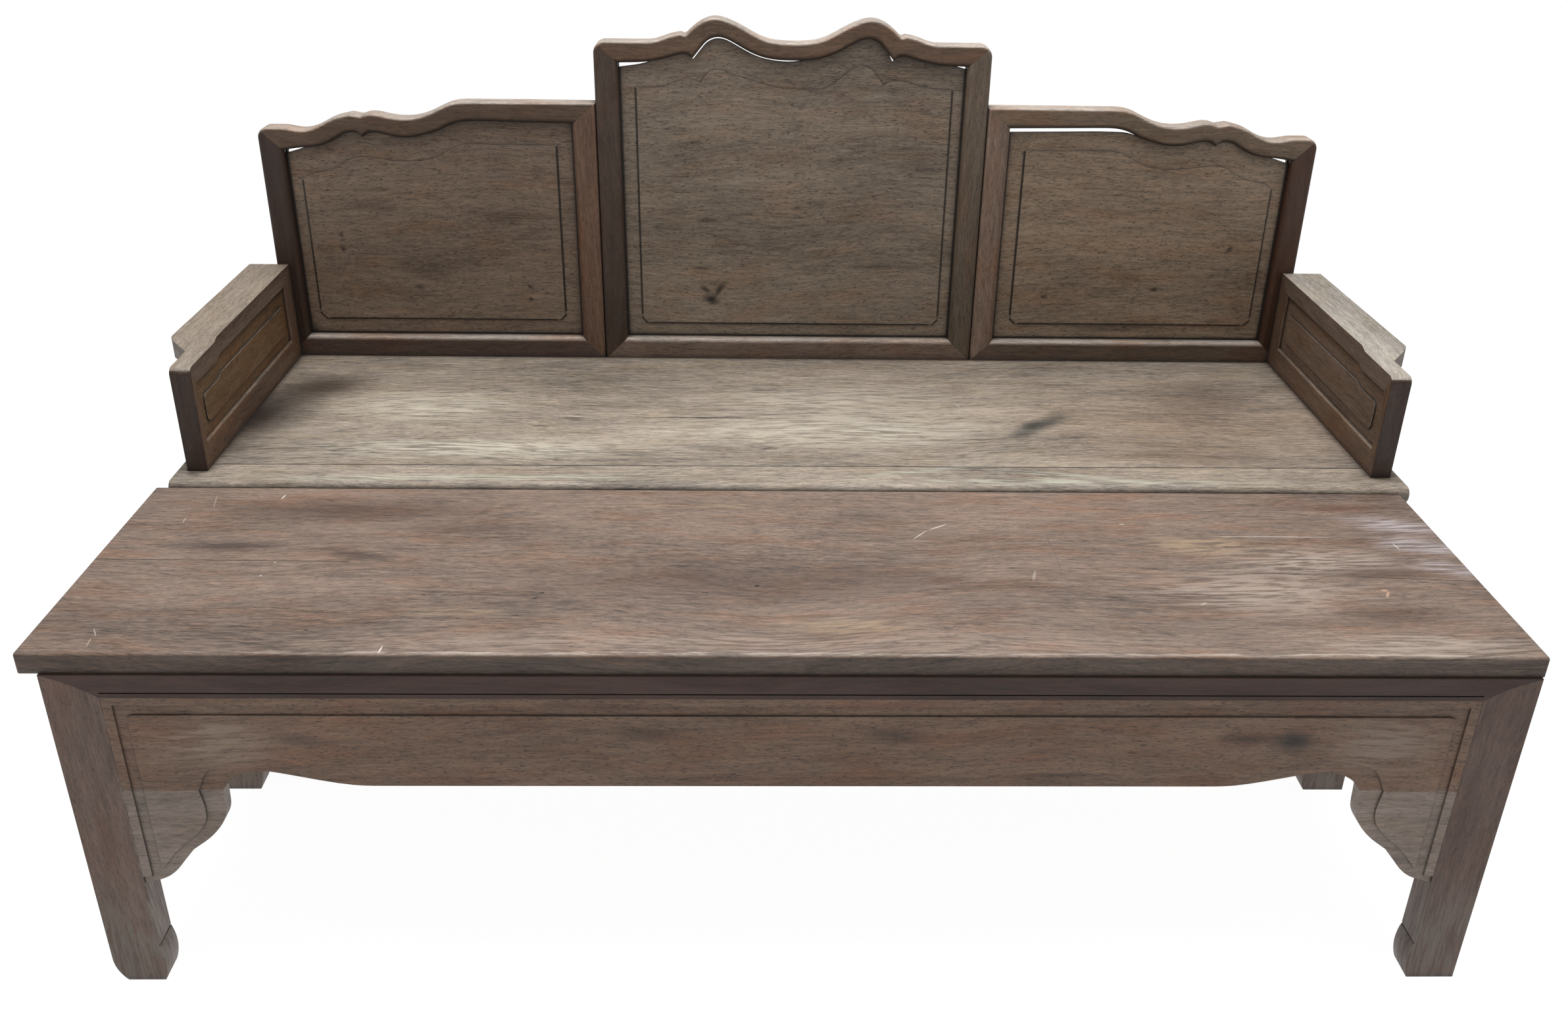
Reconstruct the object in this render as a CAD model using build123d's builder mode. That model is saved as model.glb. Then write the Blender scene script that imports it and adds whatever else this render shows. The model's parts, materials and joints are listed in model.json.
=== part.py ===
from build123d import *
from dataclasses import dataclass
from itertools import pairwise
import os

# A hardwood luohan daybed: a seat on four legs with a three-panel back and two low arms,
# and a bench of the same make that stands against its front and carries the seat forward.
# All sizes are millimetres. x = 0 is the middle of the daybed, z = 0 the floor and y = 0
# half way from the front of the bench to the rear of the seat. The sitter faces -Y.

os.makedirs("parts", exist_ok=True)

# ---------------------------------------------------------------- sizes of the two slabs
seat_length = 1860.0
seat_depth = 570.0
seat_height = 528.5
seat_thickness = 28.0
seat_nosing_radius = 13.0
seat_end_radius = 4.0
seat_front_board = 64.0  # width of the narrow front board at its left end
seat_seam_slant = 9.0  # how much wider that board is at its right end
seat_overhang = 10.0  # of the slab past its frame, at the front and the rear
seat_end_overhang = 15.0  # of the slab past its frame, at either end

bench_length = 1860.0
bench_depth = 453.0
bench_drop = 8.1  # of the bench top below the seat
bench_thickness = 28.0
bench_top_arris = 4.0
bench_under_arris = 5.5
bench_rear_arris = 2.0
bench_end_radius = 3.0
bench_seam_left = 233.0  # from the front edge to the joint of its two boards
bench_seam_bend = 218.0
bench_seam_right = 188.0
bench_bend_from_right = 443.0
bench_gap = 0.3  # between the bench top and the seat
bench_rear_overhang = 6.0
bench_end_overhang = 14.6
bench_frame_shift = -5.7  # middle of the bench frame from the middle of the daybed
bench_top_shift = -10.7  # middle of the bench top from the middle of its frame
bench_frame_proud = 4.0  # of the frame before the slab's front edge

patch_length = 175.0  # strip let into the worn lower edge of the bench top
patch_height = 12.0
patch_depth = 16.0
patch_from_end = 2.0

# ---------------------------------------------------------------- sizes of a standing frame
leg_width = 68.0
leg_depth = 40.0
foot_height = 62.0
foot_swell = 4.0
foot_toe = 3.0
foot_notch = 2.5
worn_corner_width = 15.0
worn_corner_height = 38.0
leg_tenon_width = 24.0
leg_tenon_depth = 12.0
leg_tenon_height = 15.0

waist_height = 32.4
waist_depth = 22.0
waist_bead = 6.0
waist_groove = 1.8
mitre_rise = 20.5  # height that the curved mitre has gained half way over the leg

apron_height = 134.0
apron_depth = 22.0
apron_relief = 2.5
apron_top_strip = 11.0
apron_side_strip = 12.0
apron_cove = 15.0
apron_field_radius = 7.0
side_apron_height = 96.0
bracket_radius = 44.0
tongue_thickness = 8.0
tongue_length = 10.0
tongue_set_in = 9.0  # of every tongue behind the face of its piece
tongue_shoulder = 6.0
seam_drop = 6.0  # joint of apron and spandrel below the apron's straight edge
spandrel_drop = 158.0  # foot of the spandrel below that edge

# Lower edge of the apron and of its raised field: distance from the leg, rise of the edge.
apron_arch = [(330, 0), (300, 0.5), (247, 9), (201, 19.5), (175, 23), (153, 18.5), (137, 9), (125, -6)]
spandrel_upper = [(125, -6), (124, -26), (122, -46), (112, -65), (95, -84), (72, -102)]
spandrel_lower = [(72, -102), (57, -121), (45, -136), (28, -149), (0, -158)]
field_arch = [(330, 16), (285, 17), (250, 24), (218, 36), (187, 43), (146, 39), (112, 26), (95, -6)]
field_spandrel = [(95, -6), (98, -26), (96, -54), (80, -76), (51, -103), (27, -134)]

batten_width = 46.0
batten_height = 24.0
batten_spacing = 600.0
batten_neck = 24.0
batten_head = 32.0
batten_ridge = 10.0
batten_tenon = 8.0

# ---------------------------------------------------------------- sizes of the back
back_setback = 8.0  # of the back's rear face from the seat's rear edge
back_thickness = 32.0
back_end_inset = 26.5  # of the back from the end of the seat
centre_half_width = 331.5
back_seam = 0.5
centre_height = 554.0
side_height = 453.0
stile_width = 40.0
rail_height = 38.0
outer_arris = 5.0
inner_arris = 8.0
centre_corner_radius = 20.0
side_corner_radius = 18.0

panel_setback = 15.0  # of the panel's border behind the frame's front face
panel_thickness = 9.0
panel_relief = 2.5
panel_tongue = 6.0
panel_groove = 8.0
field_radius = 14.0

# Crest outlines. Centre: distance from the middle, height from the straight top edge.
centre_shoulder = [(248, 0), (236, 0.4), (222, 3.5), (205, 9.5), (187, 13.5)]
centre_crown = [
    (179, 10.5), (168, 20.5), (150, 33), (130, 38.5), (108, 34), (77, 19.5),
    (48, 5.5), (25, 1), (0, 0),
]
centre_under_shoulder = [
    (291.5, -35), (250, -33.5), (228, -30.5), (205, -25), (188, -20.5), (177, -20.5),
    (167, -26),
]
centre_under_crown = [
    (167, -26), (155, -11.5), (142, 2), (124, 7.5), (100, -0.5), (80, -11.5),
    (60, -20.5), (32, -27), (0, -28.5),
]
# Sides: distance from the outer end, height from the straight top edge.
side_shoulder = [
    (38, -46), (47, -46.4), (60, -48.6), (76.5, -50), (99.5, -44.5), (130.5, -29.5),
    (158, -22.5),
]
side_wave = [
    (176.5, -25.5), (187, -22.2), (198.5, -21.5), (220, -25.5), (246, -28.5), (272, -26),
    (298, -17), (318, -7.5), (333, -2.4), (346, -0.5), (358, 0),
]
side_under_shoulder = [
    (40, -84.5), (66, -80.5), (90.5, -78.5), (108.5, -74.5), (127.5, -66), (143, -57),
    (156, -53.5), (167, -54.5), (174.5, -61.5),
]
side_under_wave = [
    (174.5, -61.5), (184.5, -55), (195.5, -53.5), (212, -56), (230, -60), (250, -61.5),
    (283, -55.5), (305.5, -48.5), (326, -39), (346, -33.5), (370, -32.3), (410, -32.8),
    (460, -33.5),
]
side_under_end = -34.5

# Raised fields: height from the frame's straight top edge.
centre_field_left = [(-263, -76), (-238, -76), (-212, -73), (-192, -64.5), (-170, -62), (-155, -67)]
centre_field_right = [(269, -75), (240, -73), (217, -70), (194, -63), (165, -62), (153, -68)]
centre_field_crown = [
    (-155, -67), (-142, -51), (-128, -46), (-97, -55), (-66, -63), (-32, -73),
    (10, -76), (54, -74), (77, -60), (95, -46), (118, -37), (134, -44),
    (153, -68),
]
side_field = [
    (63.5, -136), (74, -128), (94.5, -124), (112.5, -119), (132.5, -110), (150, -100),
    (184, -98), (216, -102), (250, -103.5), (286.5, -99), (310.5, -88), (338.5, -75),
    (370, -73), (420, -74),
]
centre_field_bottom = 64.0
side_field_bottom = 68.0
side_field_end = 71.0  # from the inner end of a side frame

# How far the head of each panel lies below the lower edge of its crest rail, at places that
# are measured as the outlines are. Below nothing, it still lies in the rail's groove.
centre_drops = [
    (-291.5, 9), (-250, 4), (-228, 0), (-177, -2), (-167, 4.2), (-142, 4), (0, 3.8),
    (32, 0), (80, -3), (155, -3), (167, 4.5), (177, -2), (250, -2), (291.5, 6),
]
left_drops = [(40, 7.5), (66, 3.8), (90, -2), (540, -2)]
right_drops = [
    (40, 7.5), (66, 3.4), (90, -2), (283, -2), (305, 0), (326, 4), (346, 8), (370, 8.8), (540, 9),
]

frame_tenon_thickness = 10.0
frame_tenon_height = 22.0
frame_tenon_shoulder = 5.0
frame_tenon_stop = 8.0  # left uncut in the stile past a blind tenon
key_height = 60.0
key_depth = 10.0
key_reach = 8.0
key_low = 110.0
key_high = 330.0

# ---------------------------------------------------------------- sizes of an arm
arm_setback = 39.0
arm_end_inset = 47.5  # of the arm's inner face from the end of the seat
arm_thickness = 30.0
arm_top_width = 68.0
arm_height = 170.0
arm_step = 5.0
arm_nose_drop = 6.5  # of the top edge at the front end, below its rear part
arm_step_start = 108.0
arm_step_end = 122.0
arm_nose_radius = 11.0
arm_top_thickness = 33.0
arm_wing_start = 70.0  # where the wide board leaves the arm, from its front end
arm_wing_full = 118.0
arm_wing_front_radius = 7.0
arm_wing_rear_radius = 30.0
arm_front_stile = 20.0
arm_rear_stile = 38.0
arm_bottom_rail = 42.0
arm_top_rail = 31.0
arm_through_tenon = 12.0  # foot of the tenon whose end shows in the front stile
arm_arris = 3.5
arm_panel_setback = 5.5
arm_panel_thickness = 8.0
arm_field_front = 44.0
arm_field_rear = 55.0
arm_field_bottom = 60.0
arm_field_top = 58.0  # below the top edge
arm_field_step = 6.0
arm_field_radius = 10.0

seat_tenon_length = 40.0
seat_tenon_thickness = 10.0
seat_tenon_depth = 14.0
seat_tenon_inset = 70.0
hook_height = 30.0  # dovetail key that holds an arm to the back
hook_neck = 6.0
hook_head = 10.0
hook_reach = 9.0
hook_level = 40.0
hook_slack = 2.5  # of the slot above the key
hook_lift = 44.0
fit_gap = 0.3  # round every part that lifts out
level_step = 0.6  # an outline whose first step rises less than this starts level
notch_radius = 6.0  # in the small notches of the crests
touching = 0.01  # nearer than this, an edge lies on an outline
overcut = 1.0  # by which a body runs into what it joins or past what it cuts

# ---------------------------------------------------------------- places from those sizes
bench_height = seat_height - bench_drop
seat_frame_length = seat_length - 2 * seat_end_overhang
bench_frame_length = bench_length - 2 * bench_end_overhang
back_half_length = seat_length / 2 - back_end_inset
arm_inner = seat_length / 2 - arm_end_inset  # from the middle to the arm's inner face
total_depth = bench_frame_proud + bench_depth + bench_gap + seat_depth
front_y = -total_depth / 2
bench_front = front_y + bench_frame_proud
bench_rear = bench_front + bench_depth
seat_front = bench_rear + bench_gap
seat_rear = seat_front + seat_depth
back_rear = seat_rear - back_setback
back_front = back_rear - back_thickness
arm_front = seat_front + arm_setback
arm_length = back_front - arm_front
bench_middle = bench_frame_shift + bench_top_shift
side_inner = centre_half_width + back_seam


def front_view(y):
    """Drawing plane seen from the front: across is +X, up is +Z, and -extrude goes back."""
    return Plane.XZ.offset(-y)


def side_view(x):
    """Drawing plane seen from the right: across is +Y, up is +Z, and extrude goes right."""
    return Plane.YZ.offset(x)


def block(xs, ys, zs, mode=Mode.ADD):
    """A square-edged block between two limits along each axis."""
    with Locations(((xs[0] + xs[1]) / 2, (ys[0] + ys[1]) / 2, (zs[0] + zs[1]) / 2)):
        Box(abs(xs[1] - xs[0]), abs(ys[1] - ys[0]), abs(zs[1] - zs[0]), mode=mode)


def corners_at(drawing, axis, place):
    """The corners of a drawing that lie at one place along an axis."""
    return drawing.vertices().filter_by_position(axis, place - overcut, place + overcut)


def grown(limits, gap):
    """The same block with a gap added on every side."""
    return [(min(pair) - gap, max(pair) + gap) for pair in limits]


def leaving(point, following):
    """Direction in which a curve leaves its end: level where its first step hardly rises."""
    step = (following[0] - point[0], following[1] - point[1])
    return (step[0], 0) if abs(step[1]) < level_step else step


def draw(runs):
    """Each run of points as a smooth curve, and a run of two points as a straight line."""
    for run in runs:
        if len(run) == 2:
            Line(*run)
        else:
            start, end = leaving(run[0], run[1]), leaving(run[-2], run[-1])
            Spline(*run, tangents=(start, end), tangent_scalars=(1, 1))


def mirrored(runs):
    """The same runs on the other side of x = 0."""
    return [[(-x, z) for x, z in run] for run in runs]


def moved(runs, across, up, side=1):
    """Runs measured from an edge, turned to face that edge and set at their place."""
    return [[(across + side * x, up + z) for x, z in run] for run in runs]


def keep(piece, name):
    """Label a finished piece and write it."""
    piece.part.label = name
    export_step(piece.part, f"parts/{name}.step")


# ================================================================ standing frames
@dataclass
class Stand:
    name: str
    middle: float  # x of its middle
    length: float  # over the legs
    front: float
    rear: float
    top: float  # underside of the slab

    @property
    def inner(self):
        return self.length / 2 - leg_width

    @property
    def apron_top(self):
        return self.top - waist_height

    @property
    def edge(self):
        return self.apron_top - apron_height

    @property
    def across(self):
        return Plane.YZ.offset(self.middle)

    @property
    def along(self):
        return Plane.XZ.offset(-(self.front + self.rear) / 2)


def batten_places(stand):
    return [stand.middle + step * batten_spacing for step in (-1, 0, 1)]


def apron_tongue(stand):
    """Tongue at the left end of the front apron, in the leg's groove."""
    leg_face = stand.middle - stand.inner
    return (
        (leg_face - tongue_length, leg_face + overcut),
        (stand.front + tongue_set_in, stand.front + tongue_set_in + tongue_thickness),
        (stand.edge - seam_drop + tongue_shoulder, stand.apron_top - tongue_shoulder),
    )


def spandrel_tongue(stand):
    """Tongue at the leg side of the front left spandrel."""
    xs, ys, _ = apron_tongue(stand)
    foot = stand.edge - spandrel_drop
    return xs, ys, (foot + 3 * tongue_shoulder, stand.edge - seam_drop - tongue_shoulder)


def spandrel_top_tongue(stand):
    """Tongue on top of the front left spandrel, in the apron."""
    leg_face = stand.middle - stand.inner
    reach = spandrel_upper[0][0] - 4 * tongue_shoulder
    joint = stand.edge - seam_drop
    return (
        (leg_face + 3 * tongue_shoulder, leg_face + reach),
        (stand.front + tongue_set_in, stand.front + tongue_set_in + tongue_thickness),
        (joint - overcut, joint + tongue_length),
    )


def side_apron_tongue(stand):
    """Tongue at the front end of the left side apron."""
    leg_face = stand.front + leg_depth
    outer = stand.middle - stand.length / 2
    return (
        (outer + tongue_set_in, outer + tongue_set_in + tongue_thickness),
        (leg_face - tongue_length, leg_face + overcut),
        (stand.apron_top - side_apron_height + tongue_shoulder, stand.apron_top - tongue_shoulder),
    )


def batten_tenon_limits(stand, x):
    """Tenon at the front end of a batten, in the waist."""
    inside = stand.front + waist_depth
    return (
        (x - batten_neck / 2, x + batten_neck / 2),
        (inside - batten_tenon, inside + overcut),
        (stand.top - batten_height + tongue_shoulder, stand.top - tongue_shoulder),
    )


def leg_tenon(stand):
    """Tenon on top of the front left leg, in the slab."""
    x = stand.middle - stand.length / 2 + leg_width / 2
    y = stand.front + waist_depth + (leg_depth - waist_depth) / 2
    return (
        (x - leg_tenon_width / 2, x + leg_tenon_width / 2),
        (y - leg_tenon_depth / 2, y + leg_tenon_depth / 2),
        (stand.top - overcut, stand.top + leg_tenon_height),
    )


def make_front_waist(stand):
    """Waist rail under the slab's front edge, with a pointed end mitred over each leg."""
    tip = stand.length / 2
    curve_middle = (tip + stand.inner) / 2
    left, right = stand.middle - tip, stand.middle + tip
    left_leg, right_leg = stand.middle - stand.inner, stand.middle + stand.inner
    with BuildPart() as waist:
        with BuildSketch(front_view(stand.front)):
            with BuildLine():
                ThreePointArc(
                    (left, stand.top),
                    (stand.middle - curve_middle, stand.apron_top + mitre_rise),
                    (left_leg, stand.apron_top),
                )
                Line((left_leg, stand.apron_top), (right_leg, stand.apron_top))
                ThreePointArc(
                    (right_leg, stand.apron_top),
                    (stand.middle + curve_middle, stand.apron_top + mitre_rise),
                    (right, stand.top),
                )
                Line((right, stand.top), (left, stand.top))
            make_face()
        extrude(amount=-waist_depth)
        with BuildSketch(Plane.XY.offset(stand.apron_top)):
            for corner, turn in ((left, 1), (right, -1)):
                Polygon(
                    (corner, stand.front),
                    (corner, stand.front + waist_depth),
                    (corner + turn * waist_depth, stand.front + waist_depth),
                )
        extrude(amount=waist_height, mode=Mode.SUBTRACT)
        block(
            (left_leg, right_leg),
            (stand.front, stand.front + waist_groove),
            (stand.apron_top + waist_bead, stand.apron_top + waist_bead + waist_groove),
            mode=Mode.SUBTRACT,
        )
        block(*waist_tongue(stand), mode=Mode.SUBTRACT)
        for x in batten_places(stand):
            block(*batten_tenon_limits(stand, x), mode=Mode.SUBTRACT)
    return waist


def waist_tongue(stand):
    """Tongue along the top of the front apron, in the waist."""
    return (
        (stand.middle - stand.inner + tongue_length, stand.middle + stand.inner - tongue_length),
        (stand.front + tongue_set_in, stand.front + tongue_set_in + tongue_thickness),
        (stand.apron_top - overcut, stand.apron_top + tongue_length),
    )


def make_left_waist(stand):
    """Waist rail over the left side apron."""
    outer = stand.middle - stand.length / 2
    ends = ((stand.front, 1), (stand.rear, -1))
    with BuildPart() as waist:
        with BuildSketch(side_view(outer)):
            with BuildLine():
                for corner, turn in ends:
                    ThreePointArc(
                        (corner, stand.top),
                        (corner + turn * leg_depth / 2, stand.apron_top + mitre_rise),
                        (corner + turn * leg_depth, stand.apron_top),
                    )
                Line((stand.front + leg_depth, stand.apron_top), (stand.rear - leg_depth, stand.apron_top))
                Line((stand.front, stand.top), (stand.rear, stand.top))
            make_face()
        extrude(amount=waist_depth)
        with BuildSketch(Plane.XY.offset(stand.apron_top)):
            for corner, turn in ends:
                Polygon(
                    (outer, corner),
                    (outer + waist_depth, corner),
                    (outer + waist_depth, corner + turn * waist_depth),
                )
        extrude(amount=waist_height, mode=Mode.SUBTRACT)
        block(
            (outer, outer + waist_groove),
            (stand.front + leg_depth, stand.rear - leg_depth),
            (stand.apron_top + waist_bead, stand.apron_top + waist_bead + waist_groove),
            mode=Mode.SUBTRACT,
        )
    return waist


def make_front_apron(stand):
    """Front apron: an arched lower edge, a flush strip at the top and ends, a raised field."""
    left, right = stand.middle - stand.inner, stand.middle + stand.inner
    joint = stand.edge - seam_drop
    arch_left = moved([apron_arch], left, stand.edge)[0]
    arch_right = moved([apron_arch], right, stand.edge, side=-1)[0]
    field_left = moved([field_arch], left, stand.edge)[0]
    field_right = moved([field_arch], right, stand.edge, side=-1)[0]
    field_side = apron_side_strip + apron_cove
    field_top = stand.apron_top - apron_top_strip - apron_cove
    relief_face = stand.front + apron_relief
    with BuildPart() as apron:
        with BuildSketch(front_view(relief_face)):
            with BuildLine():
                draw([arch_left, [arch_left[0], arch_right[0]], arch_right])
                Polyline(
                    arch_left[-1],
                    (left, joint),
                    (left, stand.apron_top),
                    (right, stand.apron_top),
                    (right, joint),
                    arch_right[-1],
                )
            make_face()
        extrude(amount=apron_relief - apron_depth)
        with BuildSketch(front_view(stand.front)) as field:
            with BuildLine():
                draw([field_left, [field_left[0], field_right[0]], field_right])
                Polyline(
                    field_left[-1],
                    (left + field_side, joint),
                    (left + field_side, field_top),
                    (right - field_side, field_top),
                    (right - field_side, joint),
                    field_right[-1],
                )
            make_face()
            fillet(corners_at(field, Axis.Y, field_top), radius=apron_field_radius)
        extrude(amount=-2 * apron_relief)
        strip_depth = (stand.front, relief_face + overcut)
        block((left, right), strip_depth, (stand.apron_top - apron_top_strip, stand.apron_top))
        for end, turn in ((left, 1), (right, -1)):
            block((end, end + turn * apron_side_strip), strip_depth, (joint, stand.apron_top))
        block(*apron_tongue(stand))
        mirror(with_block(apron_tongue(stand)), about=stand.across)
        block(*waist_tongue(stand))
        block(*spandrel_top_tongue(stand), mode=Mode.SUBTRACT)
        mirror(with_block(spandrel_top_tongue(stand)), about=stand.across, mode=Mode.SUBTRACT)
    return apron


def with_block(limits):
    """A loose block between those limits."""
    with BuildPart() as loose:
        block(*limits)
    return loose.part


def make_left_spandrel(stand):
    """Shaped bracket that carries the apron's edge down the front left leg."""
    left = stand.middle - stand.inner
    joint = stand.edge - seam_drop
    foot = stand.edge - spandrel_drop
    upper, lower, field_edge = moved([spandrel_upper, spandrel_lower, field_spandrel], left, stand.edge)
    relief_face = stand.front + apron_relief
    with BuildPart() as spandrel:
        with BuildSketch(front_view(relief_face)):
            with BuildLine():
                draw([upper, lower, [lower[-1], (left, joint)], [(left, joint), upper[0]]])
            make_face()
        extrude(amount=apron_relief - apron_depth)
        with BuildSketch(front_view(stand.front)):
            with BuildLine():
                corner = (left + apron_side_strip + apron_cove, joint)
                draw([field_edge, [field_edge[-1], corner], [corner, field_edge[0]]])
            make_face()
        extrude(amount=-2 * apron_relief)
        strip_depth = (stand.front, relief_face + overcut)
        block((left, left + apron_side_strip), strip_depth, (foot + apron_side_strip, joint))
        block(*spandrel_tongue(stand))
        block(*spandrel_top_tongue(stand))
    return spandrel


def make_left_apron(stand):
    """Plain side apron with a rounded bracket beside each leg."""
    outer = stand.middle - stand.length / 2
    near, far = stand.front + leg_depth, stand.rear - leg_depth
    low = stand.apron_top - side_apron_height
    foot = low - bracket_radius
    with BuildPart() as apron:
        with BuildSketch(side_view(outer)):
            with BuildLine():
                RadiusArc((near, foot), (near + bracket_radius, low), bracket_radius)
                Line((near + bracket_radius, low), (far - bracket_radius, low))
                RadiusArc((far - bracket_radius, low), (far, foot), bracket_radius)
                Polyline((far, foot), (far, stand.apron_top), (near, stand.apron_top), (near, foot))
            make_face()
        extrude(amount=apron_depth)
        block(*side_apron_tongue(stand))
        mirror(with_block(side_apron_tongue(stand)), about=stand.along)
    return apron


def make_leg(stand, front_waist, left_waist):
    """Front left leg: a straight post with a swelling foot, cut to carry its neighbours."""
    outer = stand.middle - stand.length / 2
    face = outer + leg_width
    with BuildPart() as leg:
        with BuildSketch(front_view(stand.front)):
            with BuildLine():
                toe = (face - foot_toe, 0)
                ankle = (face, foot_height)
                Polyline(toe, (outer, 0), (outer, stand.top), (face, stand.top), ankle)
                ThreePointArc(ankle, (face + foot_swell, foot_height / 2), toe)
            make_face()
        extrude(amount=-leg_depth)
        with BuildSketch(front_view(stand.front)):
            Polygon(
                (face - foot_notch, foot_height),
                (face + foot_swell, foot_height - foot_notch),
                (face + foot_swell, foot_height + foot_notch),
            )
        extrude(amount=-leg_depth, mode=Mode.SUBTRACT)
        block(*leg_tenon(stand))
        add(front_waist.part, mode=Mode.SUBTRACT)
        add(left_waist.part, mode=Mode.SUBTRACT)
        block(*apron_tongue(stand), mode=Mode.SUBTRACT)
        block(*spandrel_tongue(stand), mode=Mode.SUBTRACT)
        block(*side_apron_tongue(stand), mode=Mode.SUBTRACT)
    return leg


def make_battens(stand):
    """Battens under the slab: each slides in a dovetailed housing and ends in the waists."""
    near, far = stand.front + waist_depth, stand.rear - waist_depth
    half = batten_width / 2
    with BuildPart() as battens:
        for x in batten_places(stand):
            block((x - half, x + half), (near, far), (stand.top - batten_height, stand.top))
            block(*batten_tenon_limits(stand, x))
        mirror(battens.part, about=stand.along)
        add(make_batten_ridges(stand).part)
    return battens


def make_batten_ridges(stand):
    """The dovetailed ridges on top of the battens."""
    near, far = stand.front + waist_depth, stand.rear - waist_depth
    with BuildPart() as ridges:
        with BuildSketch(front_view(near)):
            for x in batten_places(stand):
                Polygon(
                    (x - batten_neck / 2, stand.top),
                    (x + batten_neck / 2, stand.top),
                    (x + batten_head / 2, stand.top + batten_ridge),
                    (x - batten_head / 2, stand.top + batten_ridge),
                )
        extrude(amount=near - far)
    return ridges


def make_stand(stand):
    """Make and write the frame of one unit, and return its legs for the slab's mortises."""
    front_waist = make_front_waist(stand)
    left_waist = make_left_waist(stand)
    front_apron = make_front_apron(stand)
    left_apron = make_left_apron(stand)
    left_spandrel = make_left_spandrel(stand)
    front_left_leg = make_leg(stand, front_waist, left_waist)

    with BuildPart() as front_right_leg:
        mirror(front_left_leg.part, about=stand.across)
    with BuildPart() as rear_left_leg:
        mirror(front_left_leg.part, about=stand.along)
    with BuildPart() as rear_right_leg:
        mirror(front_right_leg.part, about=stand.along)
    with BuildPart() as rear_waist:
        mirror(front_waist.part, about=stand.along)
    with BuildPart() as side_waists:
        add(left_waist.part)
        mirror(left_waist.part, about=stand.across)
    with BuildPart() as rear_apron:
        mirror(front_apron.part, about=stand.along)
    with BuildPart() as right_apron:
        mirror(left_apron.part, about=stand.across)
    with BuildPart() as right_spandrel:
        mirror(left_spandrel.part, about=stand.across)
    with BuildPart() as rear_spandrels:
        mirror(left_spandrel.part, about=stand.along)
        mirror(right_spandrel.part, about=stand.along)

    if stand.name == "bench":
        front_left_leg = wear_foot(stand, front_left_leg)
        keep(left_spandrel, "bench_spandrel_front_left")
        keep(right_spandrel, "bench_spandrel_front_right")
    else:
        with BuildPart() as front_spandrels:
            add(left_spandrel.part)
            add(right_spandrel.part)
        keep(front_spandrels, f"{stand.name}_spandrels_front")
    keep(rear_spandrels, f"{stand.name}_spandrels_rear")
    keep(front_left_leg, f"{stand.name}_leg_front_left")
    keep(front_right_leg, f"{stand.name}_leg_front_right")
    keep(rear_left_leg, f"{stand.name}_leg_rear_left")
    keep(rear_right_leg, f"{stand.name}_leg_rear_right")
    keep(front_waist, f"{stand.name}_waist_front")
    keep(rear_waist, f"{stand.name}_waist_rear")
    keep(side_waists, f"{stand.name}_waist_sides")
    keep(front_apron, f"{stand.name}_apron_front")
    keep(rear_apron, f"{stand.name}_apron_rear")
    keep(left_apron, f"{stand.name}_apron_left")
    keep(right_apron, f"{stand.name}_apron_right")
    keep(make_battens(stand), f"{stand.name}_battens")


def wear_foot(stand, leg):
    """Round off the outer toe of a leg, where years of dragging have worn it."""
    outer = stand.middle - stand.length / 2
    with BuildPart() as worn:
        add(leg.part)
        with BuildSketch(front_view(stand.front)):
            with BuildLine():
                TangentArc((outer, worn_corner_height), (outer + worn_corner_width, 0), tangent=(0, -1))
                Polyline((outer + worn_corner_width, 0), (outer, 0), (outer, worn_corner_height))
            make_face()
        extrude(amount=-leg_depth, mode=Mode.SUBTRACT)
    return worn


def cut_slab_joints(stand):
    """Inside a slab's board, cut the mortises of the legs and the battens' housings."""
    tenon = with_block(leg_tenon(stand))
    add(tenon, mode=Mode.SUBTRACT)
    mirror(tenon, about=stand.across, mode=Mode.SUBTRACT)
    rear_tenon = mirror(tenon, about=stand.along, mode=Mode.SUBTRACT)
    mirror(rear_tenon, about=stand.across, mode=Mode.SUBTRACT)
    add(make_batten_ridges(stand).part, mode=Mode.SUBTRACT)


bench_stand = Stand(
    "bench",
    bench_frame_shift,
    bench_frame_length,
    front_y,
    bench_rear - bench_rear_overhang,
    bench_height - bench_thickness,
)
daybed_stand = Stand(
    "daybed",
    0.0,
    seat_frame_length,
    seat_front + seat_overhang,
    seat_rear - seat_overhang,
    seat_height - seat_thickness,
)
make_stand(bench_stand)
make_stand(daybed_stand)


# ================================================================ bench top
bench_left = bench_middle - bench_length / 2
bench_right = bench_middle + bench_length / 2


def make_bench_slab():
    """The whole bench top, before it is parted into its boards."""
    under = bench_height - bench_thickness
    with BuildPart() as slab:
        with BuildSketch(side_view(bench_left)) as profile:
            with BuildLine():
                Polyline(
                    (bench_front, under),
                    (bench_rear, under),
                    (bench_rear, bench_height),
                    (bench_front, bench_height),
                    close=True,
                )
            make_face()
            front = corners_at(profile, Axis.X, bench_front)
            fillet(front.sort_by(Axis.Y)[-1], radius=bench_top_arris)
            fillet(front.sort_by(Axis.Y)[0], radius=bench_under_arris)
            fillet(corners_at(profile, Axis.X, bench_rear), radius=bench_rear_arris)
        extrude(amount=bench_length)
        ends = slab.faces().filter_by(Axis.X).edges()
        fillet(ends, radius=bench_end_radius)
    return slab


def bench_seam():
    """The joint of the two bench boards in plan, from its left end to its right end."""
    return [
        (bench_left - overcut, bench_front + bench_seam_left),
        (bench_right - bench_bend_from_right, bench_front + bench_seam_bend),
        (bench_right + overcut, bench_front + bench_seam_right),
    ]


def patch_limits():
    """The strip let into the lower front edge at the right end of the bench top."""
    right = bench_right - patch_from_end
    under = bench_height - bench_thickness
    return (
        (right - patch_length, right),
        (bench_front - overcut, bench_front + patch_depth),
        (under - overcut, under + patch_height),
    )


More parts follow.
